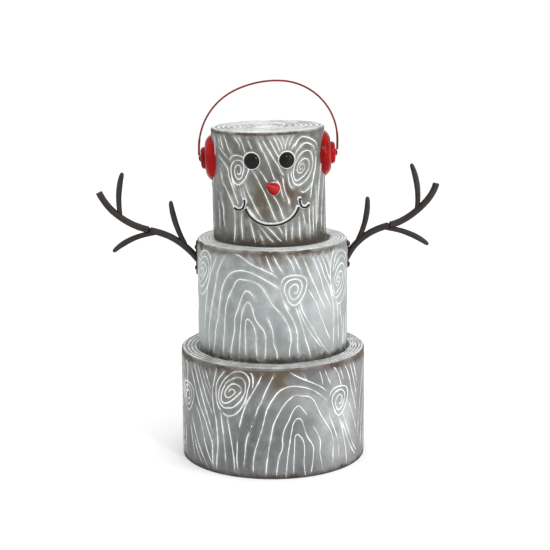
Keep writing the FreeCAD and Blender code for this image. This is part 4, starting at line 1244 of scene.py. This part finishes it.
def screw_head(name, radius, height):
    """A pan head with a cross recess, standing on the XY plane."""
    profile = [(0, -0.3 * MM), (radius, -0.3 * MM), (radius, height * 0.35)]
    profile += rounded((radius, height * 0.35), (radius * 0.3, height), (radius, height), 8)
    profile += [(radius * 0.3, height), (0, height)]
    points, faces = turned(profile, 32)
    obj = mesh_object(name, points, faces)
    tool = bmesh.new()
    arm, wide, deep = radius * 1.15, radius * 0.26, height * 1.2
    for size in ((arm, wide, deep), (wide, arm, deep)):
        made = bmesh.ops.create_cube(tool, size=1.0, matrix=Matrix.Diagonal((*size, 1.0)))
        bmesh.ops.translate(tool, verts=made["verts"], vec=(0, 0, height * 1.1))
    recess = bpy.data.meshes.new(name + "_recess")
    tool.to_mesh(recess)
    tool.free()
    cutter = new_object(name + "_recess", recess)
    cut = obj.modifiers.new("Recess", "BOOLEAN")
    cut.object = cutter
    cut.operation = "DIFFERENCE"
    cut.solver = "EXACT"
    cut.use_self = True
    piece = settled(obj, name + "_part")
    discard(cutter)
    return piece


class SNOWMAN_OT_screws(bpy.types.Operator):
    """Sets the pan-head screws in the arm plates"""

    bl_idname = "snowman.screws"
    bl_label = "Screws"

    def execute(self, context):
        black = forged_paint("screw_paint", SETTINGS.screw, SETTINGS.screw_rust)
        tree = tree_once("Set parts on points", scatter_tree)
        for side, sign in (("left", -1), ("right", 1)):
            node = side + "_arm_screws"
            low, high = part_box(node)
            plate_low, plate_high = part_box(side + "_arm_plate")
            radius = (high.y - low.y) / 2
            face = plate_low.x if sign < 0 else plate_high.x
            tip = low.x if sign < 0 else high.x
            part = screw_head(node + "_head", radius, abs(tip - face) * 0.98)
            places = [(face, 0, low.z + radius), (face, 0, high.z - radius)]
            points = bpy.data.meshes.new(node + "_places")
            points.from_pydata(places, [], [])
            store(points, "facing", "FLOAT_VECTOR", [(sign, 0, 0)] * len(places))
            obj = modified(new_object(node + "_places", points), tree, {"Part": part, "Material": black})
            piece = settled(obj, side + "_plate_screw_heads")
            discard(part)
            fitted(piece, "arm_bronze_black", node)
        return {"FINISHED"}


# Face --------------------------------------------------------------------------------------------

def on_head(angle, height, radius):
    """Axes that stand on the head at a place, with Z out of it."""
    out = Vector((math.sin(angle), -math.cos(angle), 0))
    side = Vector((math.cos(angle), math.sin(angle), 0))
    turn = Matrix((side, Vector((0, 0, 1)), out)).transposed().to_4x4()
    seat = Matrix.Translation(out * radius + Vector((0, 0, height)))
    return HEAD.placement @ seat @ turn


def turned_piece(name, profile, columns, placement, sharp_angle=40.0):
    points, faces = turned(profile, columns)
    obj = mesh_object(name + "_turning", points, faces)
    obj.data.transform(placement)
    return settled(obj, name, sharp_angle)


class SNOWMAN_OT_eyes(bpy.types.Operator):
    """Makes the domed eyes"""

    bl_idname = "snowman.eyes"
    bl_label = "Eyes"

    def execute(self, context):
        gloss = enamel("eye_enamel", SETTINGS.black, SETTINGS.eye_worn, specular=0.14, rough=0.2)
        for node in ("left_eye", "right_eye"):
            points = head_points(node)
            angle, height, reach = outermost(points)
            tall = np.ptp(points[:, 2]) / 2
            rise = reach - HEAD.radius
            sag = 0.5 * tall * tall / HEAD.radius
            dome = [(tall * math.sin(t), (rise - 0.5 * MM) * math.cos(t) ** 1.15) for t in
                    np.linspace(math.pi / 2, 0.06, 26)]
            nub = [(1.7 * MM, dome[-1][1] * 0.985), (1.2 * MM, rise - 0.25 * MM), (0.6 * MM, rise - 0.05 * MM)]
            dome = [p for p in dome if p[0] > 2.2 * MM] + nub
            profile = [(0, -sag - 0.6 * MM), (tall * 0.96, -sag - 0.6 * MM), (tall, -sag)] + dome + [(0, rise)]
            piece = turned_piece(node + "_dome", profile, 72, on_head(angle, height, HEAD.radius), 60)
            fitted(dressed(piece, gloss), "eye_black", node)
        return {"FINISHED"}


class SNOWMAN_OT_nose(bpy.types.Operator):
    """Makes the carrot nose"""

    bl_idname = "snowman.nose"
    bl_label = "Nose"

    def execute(self, context):
        points = head_points("nose")
        reach = np.hypot(points[:, 0], points[:, 1])
        tip = Vector(points[np.argmax(reach)])
        stud = points[reach < HEAD.radius - 2 * SHEET]
        height = (stud[:, 2].min() + stud[:, 2].max()) / 2
        angle = math.atan2(stud[:, 0].mean(), -stud[:, 1].mean())
        seat = Vector((HEAD.radius * math.sin(angle), -HEAD.radius * math.cos(angle), height))
        body = points[reach > HEAD.radius]
        along = tip - seat
        size = along.length
        root = max((Vector(p) - seat).cross(along.normalized()).length for p in body)
        profile = [(0, -3.2 * MM), (root * 1.04, -3.2 * MM), (root * 1.02, -0.6 * MM)]
        for share in np.linspace(0.05, 0.95, 20):
            profile.append((root * (1 - share) ** 0.78 * (1 + 0.02 * math.sin(22 * share)), size * share))
        profile += [(root * 0.06, size * 0.992), (0, size)]
        turn = Vector((0, 0, 1)).rotation_difference(along.normalized()).to_matrix().to_4x4()
        place = HEAD.placement @ Matrix.Translation(seat) @ turn
        piece = turned_piece("carrot_nose", profile, 56, place, 60)
        paint = enamel("nose_enamel", SETTINGS.nose, SETTINGS.nose_deep, specular=0.2, rough=0.16)
        fitted(dressed(piece, paint), "nose_red", "nose")
        return {"FINISHED"}


class SNOWMAN_OT_mouth(bpy.types.Operator):
    """Dresses the smile and the two cheek wires"""

    bl_idname = "snowman.mouth"
    bl_label = "Mouth"

    def execute(self, context):
        paint = enamel("mouth_enamel", SETTINGS.black, SETTINGS.mouth_worn, specular=0.14, rough=0.3)
        for node in MOUTH_WIRES:
            piece = settled(merged_copy(node, node + "_blank"), node + "_painted", 60)
            fitted(dressed(piece, paint), "face_wire_black", node)
        return {"FINISHED"}


# Ear muffs and headband --------------------------------------------------------------------------

def ear_axes(sign):
    """Axes on the middle of the ears' line, with Z out through one ear."""
    out = Vector(HINGE["axis"]).normalized() * sign
    side = Vector((0, sign, 0))
    turn = Matrix((side, out.cross(side), out)).transposed().to_4x4()
    return Matrix.Translation(HINGE["pos_m"]) @ turn


def on_axes(node, axes):
    """A node's vertices on the given axes."""
    inverse = axes.inverted()
    return np.array([inverse @ v.co for v in frame["nodes"][node].data.vertices])


def out_to_head(axes, x, y):
    """How far out along an ear's line a line beside it meets the head's round."""
    on_head_axes = HEAD_INVERSE @ axes
    near = (on_head_axes @ Vector((x, y, 0))).xy
    along = (on_head_axes.to_3x3() @ Vector((0, 0, 1))).xy
    half = near.dot(along)
    return (-half + math.sqrt(half ** 2 - along.length_squared * (near.length_squared - HEAD.radius ** 2))) / (
        along.length_squared
    )


def through(a, b, c, count):
    """Points from a to c on a smooth curve by way of b, without the ends."""
    corners = np.array([a, b, c], float)
    first, second = np.linalg.norm(np.diff(corners, axis=0), axis=1)
    at = [0, first / (first + second), 1]
    shares = np.linspace(0, 1, count + 2)[1:-1]
    return list(zip(*(np.polyval(np.polyfit(at, corners[:, k], 2), shares) for k in (0, 1))))


def dome_profile(rim, edge, turn, flat, top, foot, wall):
    """A pressed dome's wall, from the inner pole round its rim to the outer pole."""
    crown = 0.25 * MM
    inner = rim - wall
    inside = [(0, top - wall), (flat, top - wall)]
    inside += through((flat, top - wall), (turn[0] - 0.7 * wall, turn[1] - 0.7 * wall), (inner, edge), 8)
    inside += [(inner, edge), (inner, foot)]
    outside = [(rim, foot), (rim, edge), *through((rim, edge), turn, (flat, top), 18)]
    outside += [(r, top + crown * (1 - (r / flat) ** 2)) for r in np.linspace(flat, 1 * MM, 7)]
    return inside + outside + [(0, top + crown)]


MUFF_SHAPE = {"edge": 9.5, "turn": (0.863, 3.4), "flat": 0.665}   # shares of the radius, mm below the top
CAP_SHAPE = {"edge": 5.0, "turn": (0.905, 1.2), "flat": 0.62}


def pressed_dome(name, node, axes, shape, foot, columns):
    """A muff or cap, as wide and as proud as its node."""
    points = on_axes(node, axes)
    rim = np.ptp(points[:, 0]) / 2
    top = points[:, 2].max() - 0.25 * MM
    turn = (rim * shape["turn"][0], top - shape["turn"][1] * MM)
    edge = max(top - shape["edge"] * MM, foot + 0.2 * MM)
    profile = dome_profile(rim, edge, turn, rim * shape["flat"], top, foot, 1.0 * MM)
    points, faces = turned(profile, columns)
    return mesh_object(name + "_turning", points, faces)


class SNOWMAN_OT_ear_muffs(bpy.types.Operator):
    """Makes the red muffs, their caps and the pivot screws"""

    bl_idname = "snowman.ear_muffs"
    bl_label = "Ear muffs"

    def execute(self, context):
        red = enamel("muff_enamel", SETTINGS.red, SETTINGS.red_deep, specular=0.09, rough=0.14)
        pin = enamel("pivot_enamel", SETTINGS.hoop, SETTINGS.pivot_deep, specular=0.15, rough=0.35)
        for side, sign in (("left", -1), ("right", 1)):
            axes = ear_axes(sign)
            muff = on_axes(side + "_muff", axes)
            seat = HEAD.radius - 3 * MM
            obj = pressed_dome(side + "_muff", side + "_muff", axes, MUFF_SHAPE, seat, 128)
            for v in obj.data.vertices:
                if v.co.z < seat + 0.01 * MM:
                    v.co.z = out_to_head(axes, v.co.x, v.co.y) - 0.2 * MM
            obj.data.transform(axes)
            fitted(dressed(settled(obj, side + "_ear_muff", 60), red), "muff_red", side + "_muff")
            muff_top = muff[:, 2].max()
            obj = pressed_dome(side + "_cap", side + "_cap", axes, CAP_SHAPE, muff_top - 0.3 * MM, 80)
            obj.data.transform(axes)
            fitted(dressed(settled(obj, side + "_ear_cap", 60), red), "muff_red", side + "_cap")
            screw = on_axes(side + "_pivot_screw", axes)
            screw_top = screw[:, 2].max()
            screw_r = np.ptp(screw[:, 1]) / 2
            under = screw_top - 1.0 * MM
            profile = [(0, HEAD.radius), (1.5 * MM, HEAD.radius), (1.5 * MM, under), (screw_r, under)]
            profile += [(screw_r, under + 0.3 * MM)]
            profile += rounded((screw_r, under + 0.3 * MM), (screw_r * 0.4, screw_top), (screw_r, screw_top), 8)
            profile += [(screw_r * 0.4, screw_top), (0, screw_top)]
            piece = turned_piece(side + "_headband_pivot", profile, 40, axes, 45)
            fitted(dressed(piece, pin), "hoop_red", side + "_pivot_screw")
        return {"FINISHED"}


class SNOWMAN_OT_headband(bpy.types.Operator):
    """Dresses the swinging hoop"""

    bl_idname = "snowman.headband"
    bl_label = "Headband"

    def execute(self, context):
        paint = enamel("hoop_enamel", SETTINGS.hoop, SETTINGS.hoop_deep, specular=0.18, rough=0.35)
        piece = settled(merged_copy("headband_hoop", "hoop_blank"), "headband_wire", 50)
        fitted(dressed(piece, paint), "hoop_red", "headband_hoop", body=SWING_BODY)
        return {"FINISHED"}


# Stage -------------------------------------------------------------------------------------------

FLOOR_HALF = 40.0
LIGHTS = {                 # size and place of each light, in metres
    "key": ((0.9, 1.4), (2.2, -1.0, 1.1)),
    "glint": ((0.22, 0.5), (0.85, -1.6, 1.5)),
    "fill": ((1.2, 1.6), (-1.9, -1.0, 0.9)),
    "top": ((1.6, 1.6), (0.1, 0.3, 2.3)),
}


def area_light(name, watts, size, place, aim):
    data = bpy.data.lights.new(name, "AREA")
    data.energy = watts
    data.shape = "RECTANGLE"
    data.size, data.size_y = size
    light = new_object(name, data)
    light.location = place
    light.rotation_euler = (Vector(aim) - Vector(place)).to_track_quat("-Z", "Y").to_euler()


class SNOWMAN_OT_stage(bpy.types.Operator):
    """Sets the floor, the lights and the camera"""

    bl_idname = "snowman.stage"
    bl_label = "Stage"

    def execute(self, context):
        scene = context.scene
        low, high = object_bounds()
        middle = Vector((0, 0, (low[2] + high[2]) / 2))
        corners = [(x * FLOOR_HALF, y * FLOOR_HALF, low[2]) for x, y in ((-1, -1), (1, -1), (1, 1), (-1, 1))]
        floor = mesh_object("floor", corners, [(0, 1, 2, 3)])
        material, tree, shader = principled("studio_floor", Roughness=0.85, Specular_IOR_Level=0.2)
        tone = noise(tree, object_place(tree), 3.0)
        base = tuple(SETTINGS.floor)
        tree.links.new(blend(tree, ramp(tree, tone, 0.3, 0.7), base, tuple(c * 0.985 for c in base)),
                       shader.inputs["Base Color"])
        dressed(floor, material)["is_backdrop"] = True
        world = bpy.data.worlds.new("studio")
        world.use_nodes = True
        background = world.node_tree.nodes["Background"].inputs
        background["Color"].default_value = (1, 1, 1, 1)
        background["Strength"].default_value = SETTINGS.sky
        scene.world = world
        for name, (size, place) in LIGHTS.items():
            area_light(name, getattr(SETTINGS, name), size, place, middle)
        scene.view_settings.view_transform = "Standard"
        data = bpy.data.cameras.new("camera")
        data.lens = SETTINGS.lens
        data.sensor_width = 36.0
        camera = new_object("camera", data)
        turn = Matrix.Rotation(math.pi / 2 - SETTINGS.pitch, 4, "X") @ Matrix.Rotation(SETTINGS.roll, 4, "Z")
        place = (SETTINGS.camera_x, -SETTINGS.camera_back, SETTINGS.camera_height)
        camera.matrix_world = Matrix.Translation(place) @ turn
        scene.camera = camera
        return {"FINISHED"}


class SNOWMAN_PT_panel(bpy.types.Panel):
    """Shows the snowman's settings and the buttons for its building steps"""

    bl_label = "Snowman"
    bl_idname = "SNOWMAN_PT_panel"
    bl_space_type = "VIEW_3D"
    bl_region_type = "UI"
    bl_category = "Snowman"

    def draw(self, context):
        scene = context.scene
        for group in (scene.snowman_sizes, scene.snowman_colours, scene.snowman_stage):
            box = self.layout.box()
            for name in group.__annotations__:
                box.prop(group, name)
        for step in STEPS:
            self.layout.operator(step.bl_idname)


STEPS = (
    SNOWMAN_OT_bands,
    SNOWMAN_OT_lids,
    SNOWMAN_OT_hidden_parts,
    SNOWMAN_OT_arms,
    SNOWMAN_OT_screws,
    SNOWMAN_OT_eyes,
    SNOWMAN_OT_nose,
    SNOWMAN_OT_mouth,
    SNOWMAN_OT_ear_muffs,
    SNOWMAN_OT_headband,
    SNOWMAN_OT_stage,
)
GROUPS = {"snowman_sizes": SnowmanSizes, "snowman_colours": SnowmanColours, "snowman_stage": SnowmanStage}


def register():
    for cls in (*GROUPS.values(), *STEPS, SNOWMAN_PT_panel):
        bpy.utils.register_class(cls)
    for name, cls in GROUPS.items():
        setattr(bpy.types.Scene, name, PointerProperty(type=cls))


def unregister():
    for name in GROUPS:
        delattr(bpy.types.Scene, name)
    for cls in reversed((*GROUPS.values(), *STEPS, SNOWMAN_PT_panel)):
        bpy.utils.unregister_class(cls)


def main():
    register()
    for step in STEPS:
        category, name = step.bl_idname.split(".")
        getattr(getattr(bpy.ops, category), name)()


if __name__ == "__main__":
    main()
